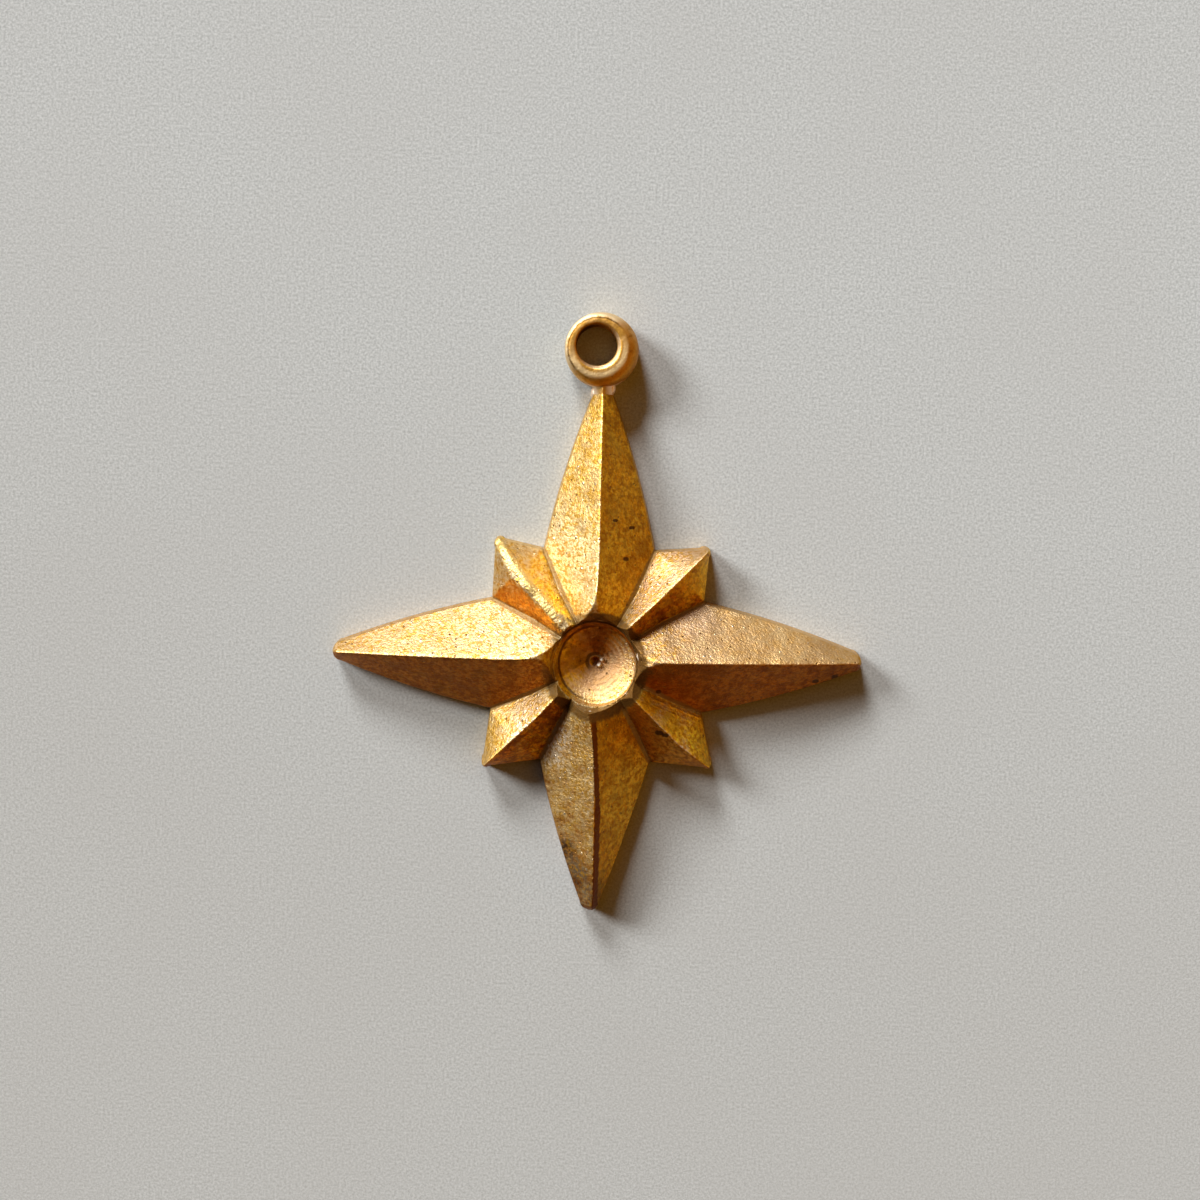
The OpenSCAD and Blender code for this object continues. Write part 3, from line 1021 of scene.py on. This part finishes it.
def worn_line():
    """Group for a straight line of wear or dirt between two places of the plan, such as along a crest."""
    group, given, result = new_group(
        "worn line",
        {"Place": None, "From": None, "To": None, "Width": 0.1, "Raggedness": 0.5},
        {"Mask": NUMBER},
    )
    run = vector_node(group, "SUBTRACT", given["To"], given["From"])
    out = vector_node(group, "SUBTRACT", given["Place"], given["From"])
    out = vector_node(group, "MULTIPLY", out, (1, 1, 0))
    along = vector_node(group, "DOT_PRODUCT", out, run)
    share = over(group, along, vector_node(group, "DOT_PRODUCT", run, run), clamp=True)
    foot = vector_node(group, "SCALE", run, scale=share)
    near = over(group, vector_node(group, "DISTANCE", out, foot), given["Width"])
    edge = ragged(group, given["Place"], 7.0, given["Raggedness"], detail=3.0, rough=0.6)
    feed(group, result["Mask"], ramp_value(group, plus(group, near, edge), 1.15, 0.7))
    return group


PLACES = millimetre_places()
WORN_LINE = worn_line()
FOLDED = folded_places()
GRAIN = cast_grain()
DOTS = sparse_dots()
MOTTLE = gilt_mottle()
STAIN = stain()
RIM_DIRT = rim_dirt()
RING_MARK = ring_mark()
SHADED_SIDE = shaded_side()


def place_group(tree, group, place=None, **values):
    """Puts a group in a material, with its own values, and gives its outputs."""
    node = tree.nodes.new("ShaderNodeGroup")
    node.node_tree = group
    if place is not None:
        feed(tree, node.inputs["Place"], place)
    for label, value in values.items():
        feed(tree, node.inputs[label.replace("_", " ")], value)
    return node.outputs


def mask(tree, group, place, **values):
    return place_group(tree, group, place, **values)["Mask"]


def overlay(tree, colour, cover, strength, tint, blend="MIX"):
    """Lays a colour over another where a mask says so."""
    return mix_colour(tree, times(tree, cover, strength), colour, tint, blend)


def new_material(name):
    material = bpy.data.materials.new(name)
    material.use_nodes = True
    tree = material.node_tree
    return material, tree, tree.nodes["Principled BSDF"]


def add_bump(tree, shader, height):
    """Bump from a height in millimetres."""
    bump = tree.nodes.new("ShaderNodeBump")
    feed(tree, bump.inputs["Strength"], 1.0)
    feed(tree, bump.inputs["Distance"], MM)
    feed(tree, bump.inputs["Height"], height)
    feed(tree, shader.inputs["Normal"], bump.outputs["Normal"])


# Colours of the gilding, its wear and its dirt, and of its painted shade and highlights
PALE_WEAR = (0.76, 0.54, 0.18)
HUB_WEAR = (0.86, 0.73, 0.41)
DULL_GILT = (0.58, 0.4, 0.2)
BROWN_GILT = (0.42, 0.26, 0.12)
ROSE_GILT = (0.66, 0.42, 0.22)
ROSY_BROWN = (0.6, 0.38, 0.2)
ASH = (0.2, 0.13, 0.07)
TURNED_GILT = (0.56, 0.29, 0.12)
OCHRE = (0.54, 0.27, 0.02)
TAN = (0.62, 0.45, 0.22)
RUST = (0.34, 0.13, 0.01)
# Brown of the painted shade down the valleys
VALLEY_SHADE_BROWN = (0.24, 0.13, 0.035)
DIRT_COLOUR = (0.17, 0.08, 0.015)
GRIME_COLOUR = (0.1, 0.043, 0.007)
# Dark colour of the stains and pits, also used for painted shade in and round the seat, at the eye's flat
# and in its hole
STAIN_AND_SHADE_COLOUR = (0.07, 0.025, 0.004)
COPPER_WEAR = (0.13, 0.032, 0.003)
GLINT_COLOUR = (1.0, 0.88, 0.66)
# Painted shade on the sides that face away from the window: direction they face, tint and strength
SHADED_SIDES = [
    ((0.94, -0.2, 0.0), (0.95, 0.8, 0.03), 0.92),
    ((-0.15, -0.97, 0.0), (0.7, 0.35, 0.01), 0.92),
]
# What the speckles in that painted shade leave of the gilding's colour, and how strong they are
SHADE_SPECKLE_TINT = (0.3, 0.2, 0.1)
SHADE_SPECKLE_STRENGTH = 0.5
# The painted shade is lighter on the short rays' shaded sides
SHORT_RAY_SHADE_LIFT = (1.45, 1.6, 1.3)
# The slants between which a folded place passes from a long ray to a short one
SHORT_RAY_SLANTS = (NOTCH[0] / NOTCH[1] - 0.02, NOTCH[0] / NOTCH[1] + 0.06)
# The turned bottom of the seat: centre and radius
TURNED_PLACE = ((*SEAT_CENTRE, 1.1), 1.62)
# The east ray's upper facet is smoother than the rest: centre and radius
SMOOTH_PLACE = ((6.5, 0.8, 1.5), 4.6)
# Patches: centre, radius, strength and colour
PATCHES = [
    ((-1.3, 1.6, 1.5), 4.6, 0.7, HUB_WEAR),
    ((-2.7, 2.7, 1.6), 1.9, 0.6, DULL_GILT),
    ((2.3, 2.6, 2.0), 1.5, 0.75, ROSE_GILT),
    ((-2.6, -2.3, 2.0), 1.5, 0.75, ROSE_GILT),
    ((-6.9, 0.6, 1.6), 4.5, 0.7, ROSE_GILT),
    # Pale patches that lighten the painted shade on three facets that face away from the window
    ((3.6, 2.2, 1.5), 1.4, 0.7, GLINT_COLOUR),
    ((-2.0, -3.2, 1.4), 1.4, 0.7, GLINT_COLOUR),
    ((2.0, -5.2, 1.5), 2.4, 0.7, GLINT_COLOUR),
    ((2.9, 3.6, 1.4), 1.8, 0.8, ROSE_GILT),
    # A pale patch that lightens the painted shade on the southeast ray's upper right facet
    ((3.3, -2.6, 1.7), 1.5, 0.9, GLINT_COLOUR),
    ((3.0, 0.9, 1.9), 2.6, 0.65, BROWN_GILT),
    ((6.0, 0.8, 1.6), 6.5, 0.5, ROSY_BROWN),
    ((9.3, 0.4, 1.2), 1.7, 0.4, BROWN_GILT),
    ((-0.6, -5.2, 1.6), 3.4, 0.4, DULL_GILT),
    (*TURNED_PLACE, 0.7, TURNED_GILT),
    ((-0.3, 0.55, 1.3), 0.95, 0.35, RUST),
    ((-0.95, -7.6, 0.95), 0.75, 0.95, STAIN_AND_SHADE_COLOUR),
    ((-0.5, -9.0, 1.0), 1.5, 0.85, ASH),
    ((0.0, -9.9, 0.7), 0.5, 0.8, STAIN_AND_SHADE_COLOUR),
    ((2.5, -2.5, 1.6), 1.3, 0.15, DIRT_COLOUR),
]
# Lines of wear along crests: the two ends in plan, half width, strength and colour
WORN_LINES = [
    ((-1.7, 1.7, 0), (-3.85, 4.3, 0), 0.17, 0.85, PALE_WEAR),
    ((-0.04, -2.3, 0), (0.16, -5.6, 0), 0.1, 0.95, COPPER_WEAR),
    ((0.16, -5.6, 0), (0.13, -9.6, 0), 0.12, 0.95, COPPER_WEAR),
]
# Painted shade down each valley, brown and matte, which dulls the valley's highlight; folded onto one of the
# eight: ends, half width and strength
VALLEY_START = (*(0.6 * HUB_CORNER), 0)
VALLEY_END = (*NOTCH, 0)
VALLEY_HALF_WIDTH = 0.1
VALLEY_STRENGTH = 0.8
# Rings round the seat, of dirt and of painted shade: radius, half width, direction that they lean to,
# strength and colour
SEAT_DIRT_AND_SHADE_RINGS = [
    # painted shade at the foot of the seat's wall on the west, and along the rim's north edge
    (1.42, 0.05, (-1.0, 0.1, 0), 0.75, STAIN_AND_SHADE_COLOUR),
    (1.63, 0.05, (0.5, 0.8, 0), 0.85, STAIN_AND_SHADE_COLOUR),
    # dirt outside the rim, to the south and to the east
    (1.86, 0.26, (0.15, -0.95, 0), 0.9, DIRT_COLOUR),
    (1.82, 0.2, (1.0, 0.3, 0), 0.85, DIRT_COLOUR),
    # painted shade in a dark ring round the pip, on its upper left
    (0.32, 0.08, (-0.8, 0.6, 0), 0.7, STAIN_AND_SHADE_COLOUR),
]
# Grime that lies thick beside the seat: centre and radius
GRIME = [((1.8, -0.15, 2.15), 0.7), ((-1.32, 1.22, 2.1), 0.55)]
GRIME_START = SEAT_R + 0.02
GRIME_REACH = 0.45
# A pit's darkest part, as a share of its half width to either side
PIT_DARK_SHARE = 0.4
# Painted highlights on the nicks at the seat's pip and on the hub's crumbs: centre and radius
NICK_HIGHLIGHTS = [
    ((0.19, -0.1, 1.15), 0.24),
    ((0.08, -0.3, 1.15), 0.28),
    ((1.56, 0.16, 2.15), 0.16),
    ((1.99, -0.14, 2.3), 0.14),
    ((0.13, 1.53, 2.1), 0.14),
]
# How matte the painted highlights are, so that they show bright in shade
NICK_HIGHLIGHT_MATTE = (0.85, 0.85, 0.85)
# Heights of the finest relief, in millimetres, and width of the northwest crest's beads
PORE_DEPTH = 0.03
GLINT_HEIGHT = 0.015
BEAD_HEIGHT = 0.035
BEAD_HALF_WIDTH = 0.2
STROKE_DEPTH = 0.018
# Strokes of the file across the south ray's left facet: the ends of their path and its half width
BRUSHED = ((-0.75, -2.6, 0), (-0.45, -9.0, 0), 0.75)
# How the strokes' noise is stretched
STROKE_SCALES = (1.2, 11.0, 1.0)


def gilding(tree, place, hollows, turned):
    """Colour of the gilding: its mottle, its patches, ochre grains and tan clouds."""
    colour = place_group(tree, MOTTLE, place, Mottle_Scale=3.0, Hollows=hollows)["Color"]
    for centre, radius, strength, tint in PATCHES:
        patch = mask(tree, STAIN, place, Centre=centre, Radius=radius)
        colour = overlay(tree, colour, patch, strength, tint)
    smooth = mask(tree, STAIN, place, Centre=SMOOTH_PLACE[0], Radius=SMOOTH_PLACE[1], Raggedness=0.3)
    kept = ramp_value(tree, most(tree, smooth, turned), 0.0, 1.0, 0.8, 0.2)
    grains = times(tree, patchy(tree, place, 6.8, low=0.48, high=0.57, detail=3.0), kept)
    colour = overlay(tree, colour, grains, 1.0, OCHRE)
    clouds = patchy(tree, place, 1.1, low=0.5, high=0.62, rough=0.65)
    return overlay(tree, colour, clouds, 0.4, TAN)


def paint_shade(tree, place, colour, glints):
    """Painted shade: darkens the sides that face away from the window, speckled and lighter on the short
    rays, and leaves fewer glints there.
    """
    speckle = patchy(tree, place, 4.5, low=0.42, high=0.6, rough=0.75)
    gloom = patchy(tree, place, 1.4, low=0.5, high=0.62)
    sides = 0.0
    for towards, tint, strength in SHADED_SIDES:
        side = mask(tree, SHADED_SIDE, place, Towards=towards)
        colour = overlay(tree, colour, side, strength, tint, "MULTIPLY")
        dark = times(tree, side, most(tree, speckle, gloom))
        colour = overlay(tree, colour, dark, SHADE_SPECKLE_STRENGTH, SHADE_SPECKLE_TINT, "MULTIPLY")
        glints = times(tree, glints, minus(tree, 1.0, side))
        sides = most(tree, side, sides)
    x, y, _ = axes(tree, place_group(tree, FOLDED, place)["Place"])
    short = times(tree, ramp_value(tree, over(tree, x, y), *SHORT_RAY_SLANTS), sides)
    return overlay(tree, colour, short, 1.0, SHORT_RAY_SHADE_LIFT, "MULTIPLY"), glints


def dirt(tree, place, colour):
    """Worn crests, painted shade down the valleys, the grime round the seat and its rings of dirt and of
    painted shade. Also says where they are matte.
    """
    for start, end, width, strength, tint in WORN_LINES:
        line = mask(tree, WORN_LINE, place, From=start, To=end, Width=width, Raggedness=1.3)
        colour = overlay(tree, colour, line, strength, tint)
    folded = place_group(tree, FOLDED, place)["Place"]
    valley = mask(
        tree, WORN_LINE, folded, From=VALLEY_START, To=VALLEY_END, Width=VALLEY_HALF_WIDTH, Raggedness=0.9
    )
    colour = overlay(tree, colour, valley, VALLEY_STRENGTH, VALLEY_SHADE_BROWN)
    grime = mask(tree, RIM_DIRT, place, Inner_Radius=GRIME_START, Reach=GRIME_REACH)
    for centre, radius in GRIME:
        grime = most(tree, grime, mask(tree, STAIN, place, Centre=centre, Radius=radius))
    for radius, width, lean, strength, tint in SEAT_DIRT_AND_SHADE_RINGS:
        ring = mask(
            tree, RING_MARK, place,
            Centre=(*SEAT_CENTRE, 0), Squeeze=SEAT_SQUEEZE, Radius=radius, Half_Width=width, Leans_To=lean,
        )
        colour = overlay(tree, colour, ring, strength, tint)
        if radius > SEAT_R:
            grime = most(tree, grime, times(tree, ring, strength))
    grime = times(tree, grime, patchy(tree, place, 3.6, low=0.4, high=0.58, rough=0.7, least=0.35))
    colour = overlay(tree, colour, grime, 1.0, GRIME_COLOUR)
    return colour, most(tree, times(tree, valley, VALLEY_STRENGTH), grime)


def marks(tree, place, colour, matte, pores, glints):
    """Dark pores and casting pits, bright glints, and painted highlights on the nicks."""
    colour = overlay(tree, colour, pores, 0.8, DIRT_COLOUR)
    for x, y, wide, tall, depth in PITS:
        if depth > 0:
            reach = PIT_DARK_SHARE * wide
            pit = mask(tree, WORN_LINE, place, From=(x - reach, y, 0), To=(x + reach, y, 0), Width=tall)
            colour = overlay(tree, colour, pit, 0.9, STAIN_AND_SHADE_COLOUR)
    colour = overlay(tree, colour, glints, 0.6, GLINT_COLOUR)
    # Painted highlights on the nicks, made matte
    for centre, radius in NICK_HIGHLIGHTS:
        nick_highlight = mask(tree, STAIN, place, Centre=centre, Radius=radius, Raggedness=0.1)
        colour = overlay(tree, colour, nick_highlight, 0.95, GLINT_COLOUR)
        matte = mix_colour(tree, nick_highlight, matte, NICK_HIGHLIGHT_MATTE)
    return colour, matte


def relief(tree, place, grain, pores, glints):
    """Height of the grain, the pores, the glints, the northwest crest's beads and the file's strokes."""
    height = minus(tree, grain, times(tree, pores, PORE_DEPTH))
    height = plus(tree, height, times(tree, glints, GLINT_HEIGHT))
    start, end = WORN_LINES[0][:2]
    crest = mask(tree, WORN_LINE, place, From=start, To=end, Width=BEAD_HALF_WIDTH)
    beads = times(tree, noise_node(tree, place, 4.5, detail=1.0), BEAD_HEIGHT)
    height = plus(tree, height, times(tree, crest, beads))
    start, end, width = BRUSHED
    brushed = mask(tree, WORN_LINE, place, From=start, To=end, Width=width)
    strokes = noise_node(tree, vector_node(tree, "MULTIPLY", place, STROKE_SCALES), 1.0, detail=3.0)
    return plus(tree, height, times(tree, brushed, times(tree, strokes, STROKE_DEPTH)))


def gilt_casting():
    """Old gilding on a sand casting: grained, mottled, with pores, glints, stains and dirt, and with painted
    shade and highlights.
    """
    material, tree, shader = new_material("gilt casting")
    place = place_group(tree, PLACES)["Place"]
    grain = place_group(tree, GRAIN, place, Grain_Scale=11.0, Grain_Depth=0.03)
    pores = mask(tree, DOTS, place, Dot_Scale=3.2, Dot_Size=0.17, Share=0.45)
    glints = mask(tree, DOTS, place, Dot_Scale=4.5, Dot_Size=0.27, Share=0.12)
    turned = mask(tree, STAIN, place, Centre=TURNED_PLACE[0], Radius=TURNED_PLACE[1], Raggedness=0.05)
    colour = gilding(tree, place, grain["Hollows"], turned)
    colour, glints = paint_shade(tree, place, colour, glints)
    colour, matte = dirt(tree, place, colour)
    colour, matte = marks(tree, place, colour, matte, pores, glints)
    rough = ramp_value(tree, glints, 0.0, 1.0, 0.5, 0.25)
    feed(tree, shader.inputs["Base Color"], colour)
    feed(tree, shader.inputs["Metallic"], minus(tree, 1.0, matte, clamp=True))
    feed(tree, shader.inputs["Specular IOR Level"], 0.08)
    feed(tree, shader.inputs["Roughness"], plus(tree, rough, times(tree, turned, 0.17)))
    add_bump(tree, shader, relief(tree, place, grain["Height"], pores, glints))
    return material


# Colours of the rubbed brass: whole, warm and brown; the painted shade on its side that faces away from the
# window; and the painted highlight that makes the nubs look lit, with its radius
RUBBED_PALE = (0.7, 0.4, 0.11, 1)
RUBBED_WARM = (0.6, 0.31, 0.05, 1)
RUBBED_BROWN = (0.32, 0.15, 0.02, 1)
RUBBED_SHADE = (0.86, 0.7, 0.12)
NUB_HIGHLIGHT = (1.0, 0.8, 0.58)
NUB_HIGHLIGHT_R = 0.65
# Painted shade inside the eye's hole, on its upper left wall
HOLE_SHADE = tuple(EYE_CENTRE + (*HOLE_OFF, 0) + (-0.5, 0.5, -0.1))
HOLE_SHADE_R = 0.85
# Rings painted on the eye's front: centre's offset, radius, half width, direction leant to, strength and
# colour
EYE_LIGHT_AND_SHADE_RINGS = [
    # painted shade in the step at the flat's edge, on its upper left
    (FLAT_OFF, 1.14, 0.04, (-1.0, 1.0, 0), 0.8, STAIN_AND_SHADE_COLOUR),
    # painted highlight: the pale crescent round the ball's upper left edge
    (FLAT_OFF, 1.31, 0.15, (-1.0, 1.0, 0), 0.85, (0.95, 0.74, 0.42)),
    # painted highlight on the lower right of the hole's chamfer, which faces the window
    (HOLE_OFF + MOUTH_OFF, HOLE_R + 0.03, 0.06, (1.0, -1.0, 0), 0.8, (0.8, 0.58, 0.32)),
    # paler towards the bottom of the flat
    (FLAT_OFF, 1.02, 0.12, (0.2, -1.0, 0), 0.7, (0.95, 0.72, 0.36)),
]


def rubbed_brass():
    """The neck and the eye, where handling has rubbed the gilding thin and smooth, with painted shade and
    highlights.
    """
    material, tree, shader = new_material("rubbed brass")
    place = place_group(tree, PLACES)["Place"]
    grain = place_group(tree, GRAIN, place, Grain_Scale=5.0, Grain_Depth=0.016)
    mottle = place_group(
        tree, MOTTLE, place, Mottle_Scale=2.0,
        Hollows=grain["Hollows"], Pale=RUBBED_PALE, Warm=RUBBED_WARM, Brown=RUBBED_BROWN,
    )
    # Painted shade on the side of the neck and eye that faces away from the window
    side = mask(tree, SHADED_SIDE, place, Towards=(0.68, -0.68, 0.0))
    colour = overlay(tree, mottle["Color"], side, 0.85, RUBBED_SHADE, "MULTIPLY")
    for offset, radius, width, lean, strength, tint in EYE_LIGHT_AND_SHADE_RINGS:
        centre = (*(EYE_CENTRE[:2] + offset), 0)
        ring = mask(tree, RING_MARK, place, Centre=centre, Radius=radius, Half_Width=width, Leans_To=lean)
        colour = overlay(tree, colour, ring, strength, tint)
    # Painted highlights that make the nubs look lit
    for centre, _ in NUBS:
        nub = mask(tree, STAIN, place, Centre=centre, Radius=NUB_HIGHLIGHT_R, Raggedness=0.2)
        colour = overlay(tree, colour, nub, 0.9, NUB_HIGHLIGHT)
    # Painted shade in the eye's hole
    hole_shade = mask(tree, STAIN, place, Centre=HOLE_SHADE, Radius=HOLE_SHADE_R, Raggedness=0.1)
    feed(tree, shader.inputs["Base Color"], overlay(tree, colour, hole_shade, 0.95, STAIN_AND_SHADE_COLOUR))
    feed(tree, shader.inputs["Metallic"], 1.0)
    feed(tree, shader.inputs["Roughness"], ramp_value(tree, mottle["Dullness"], 0.0, 1.0, 0.52, 0.6))
    add_bump(tree, shader, grain["Height"])
    return material


# Colours of the sheet: its fibres, its clouds and the painted shade where it falls away from the window
FIBRE_DARK = (0.293, 0.303, 0.27)
FIBRE_PALE = (0.548, 0.563, 0.512)
PAPER_CLOUD = (0.4, 0.395, 0.35)
PAPER_FAR_SHADE = (0.3, 0.28, 0.23)
# Where the sheet's painted shade darkens it: up to here wholly, from here on not at all, in millimetres
FAR_SHADE_PLACES = (-16.0, 22.0)
FIBRE_DEPTH = 0.008


def paper_finish():
    """The pale grey sheet that the charm lies on."""
    material, tree, shader = new_material("pale grey paper")
    place = place_group(tree, PLACES)["Place"]
    fibre = noise_node(tree, place, 11.0, detail=3.0, rough=0.75)
    cloud = noise_node(tree, place, 0.12, detail=3.0)
    shade = mix_colour(tree, ramp_value(tree, fibre, 0.25, 0.75), FIBRE_DARK, FIBRE_PALE)
    shade = mix_colour(tree, ramp_value(tree, cloud, 0.3, 0.7, 0.0, 0.25), shade, PAPER_CLOUD)
    # Painted shade: the sheet darkens towards the bottom, and a little towards the left
    x, y, _ = axes(tree, place)
    shade_fall = plus(tree, y, times(tree, x, 0.2))
    shade = mix_colour(tree, ramp_value(tree, shade_fall, *FAR_SHADE_PLACES, 0.28, 0.0), shade, PAPER_FAR_SHADE)
    feed(tree, shader.inputs["Base Color"], shade)
    feed(tree, shader.inputs["Roughness"], 0.85)
    feed(tree, shader.inputs["Specular IOR Level"], 0.2)
    add_bump(tree, shader, times(tree, fibre, FIBRE_DEPTH))
    return material


def dress(piece, node, material):
    piece.data.materials.append(material)
    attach(piece, "root")
    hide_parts(node)


def make_charm():
    gilt = gilt_casting()
    rubbed = rubbed_brass()
    for ray in RAYS:
        dress(make_ray(ray), ray.node, gilt)
    dress(make_hub(), "hub", gilt)
    dress(make_neck(), "neck", rubbed)
    dress(make_eye(), "hanging_eye", rubbed)


# The sheet lies this far under the charm's back, in metres like the rest of the setting
SHEET_GAP = 0.02 * MM
FLOOR_SIZE = 6.0
WALL_RADIUS = 0.8
WALL_HEIGHT = 1.0
WALL_TURNS = 48
WALL_COLOUR = (0.5, 0.5, 0.47, 1.0)


def stage_piece(name, points, faces, material):
    """A piece of the setting, which isn't part of the charm."""
    mesh = bpy.data.meshes.new(name)
    mesh.from_pydata(points, [], faces)
    mesh.materials.append(material)
    piece = bpy.data.objects.new(name, mesh)
    bpy.context.collection.objects.link(piece)
    return piece


def make_floor():
    half = FLOOR_SIZE / 2
    corners = [(-half, -half, 0), (half, -half, 0), (half, half, 0), (-half, half, 0)]
    floor = stage_piece("paper", corners, [(0, 1, 2, 3)], paper_finish())
    floor.location.z = -SHEET_GAP


def make_backdrop():
    """A plain pale wall round the sheet for low views. Only the camera sees it, so it lights nothing."""
    material, tree, shader = new_material("pale wall")
    feed(tree, shader.inputs["Base Color"], (0.0, 0.0, 0.0, 1.0))
    feed(tree, shader.inputs["Specular IOR Level"], 0.0)
    feed(tree, shader.inputs["Emission Color"], WALL_COLOUR)
    feed(tree, shader.inputs["Emission Strength"], 1.0)
    turn = np.linspace(0, 2 * math.pi, WALL_TURNS, endpoint=False)
    ring = np.stack([np.cos(turn), np.sin(turn)], axis=-1) * WALL_RADIUS
    points = [(x, y, z) for z in (-SHEET_GAP, WALL_HEIGHT) for x, y in ring]
    faces = []
    for j in range(WALL_TURNS):
        k = (j + 1) % WALL_TURNS
        faces.append((k, j, WALL_TURNS + j, WALL_TURNS + k))
    wall = stage_piece("backdrop", points, faces, material)
    for ray in ("diffuse", "glossy", "transmission", "volume_scatter", "shadow"):
        setattr(wall, "visible_" + ray, False)


# The camera, as the photograph's perspective gives it: lengths in the photograph's pixels, turns in radians
IMAGE_SIDE = 1200
MM_PER_PIXEL = 0.0387
CAMERA_DISTANCE_PX = 1700
CAMERA_TURNS = (0.066, -0.003, -0.023)
# Where the star's origin lies off the picture's middle, in millimetres
STAR_OFFSET = (-0.112, -2.107)
SENSOR_MM = 36.0
CLIP_START = 0.001


def make_camera():
    rx, ry, rz = CAMERA_TURNS
    turn = Matrix.Rotation(rz, 3, "Z") @ Matrix.Rotation(ry, 3, "Y") @ Matrix.Rotation(rx, 3, "X")
    back = turn.transposed()
    place = back @ Vector((-STAR_OFFSET[0], -STAR_OFFSET[1], CAMERA_DISTANCE_PX * MM_PER_PIXEL))
    data = bpy.data.cameras.new("camera")
    data.sensor_width = SENSOR_MM
    data.lens = SENSOR_MM * CAMERA_DISTANCE_PX / IMAGE_SIDE
    data.clip_start = CLIP_START
    camera = bpy.data.objects.new("camera", data)
    bpy.context.collection.objects.link(camera)
    camera.matrix_world = Matrix.LocRotScale(place * MM, back.to_quaternion(), None)
    bpy.context.scene.camera = camera


# The window's light in parts: heading clockwise from north, elevation, width and strength
WINDOW_PARTS = [
    (-58.0, 29.5, 18.0, 3.6),
    (-20.0, 29.5, 18.0, 3.5),
    (-38.0, 54.0, 50.0, 0.12),
]
WINDOW_COLOUR = (1.0, 1.03, 1.14)
# The room's warm side: its heading, where it starts and where it is full, and the room's two colours
ROOM_HEADING = 102.0
ROOM_SHARES = (0.1, 0.8)
ROOM_DARK = (0.03, 0.014, 0.005)
ROOM_WARM = (0.56, 0.25, 0.03)


def heading_direction(heading, elevation=0.0):
    turn, lift = math.radians(heading), math.radians(elevation)
    return Vector((math.sin(turn) * math.cos(lift), math.cos(turn) * math.cos(lift), math.sin(lift)))


def make_window():
    """Broad soft daylight from the upper left, low enough to rake across the facets."""
    for number, (heading, elevation, angle, strength) in enumerate(WINDOW_PARTS):
        data = bpy.data.lights.new(f"window part {number + 1}", "SUN")
        data.energy = strength
        data.color = WINDOW_COLOUR
        data.angle = math.radians(angle)
        lamp = bpy.data.objects.new(data.name, data)
        bpy.context.collection.objects.link(lamp)
        lamp.rotation_mode = "QUATERNION"
        lamp.rotation_quaternion = heading_direction(heading, elevation).to_track_quat("Z", "Y")


def make_room():
    """A dim room, warmer on the side away from the window."""
    world = bpy.data.worlds.new("room")
    bpy.context.scene.world = world
    world.use_nodes = True
    tree = world.node_tree
    coords = tree.nodes.new("ShaderNodeTexCoord")
    side = vector_node(tree, "DOT_PRODUCT", coords.outputs["Generated"], heading_direction(ROOM_HEADING))
    share = ramp_value(tree, side, *ROOM_SHARES)
    feed(tree, tree.nodes["Background"].inputs["Color"], mix_colour(tree, share, ROOM_DARK, ROOM_WARM))


bpy.context.scene.view_settings.view_transform = "Standard"
make_camera()
make_charm()
make_floor()
make_backdrop()
make_window()
make_room()
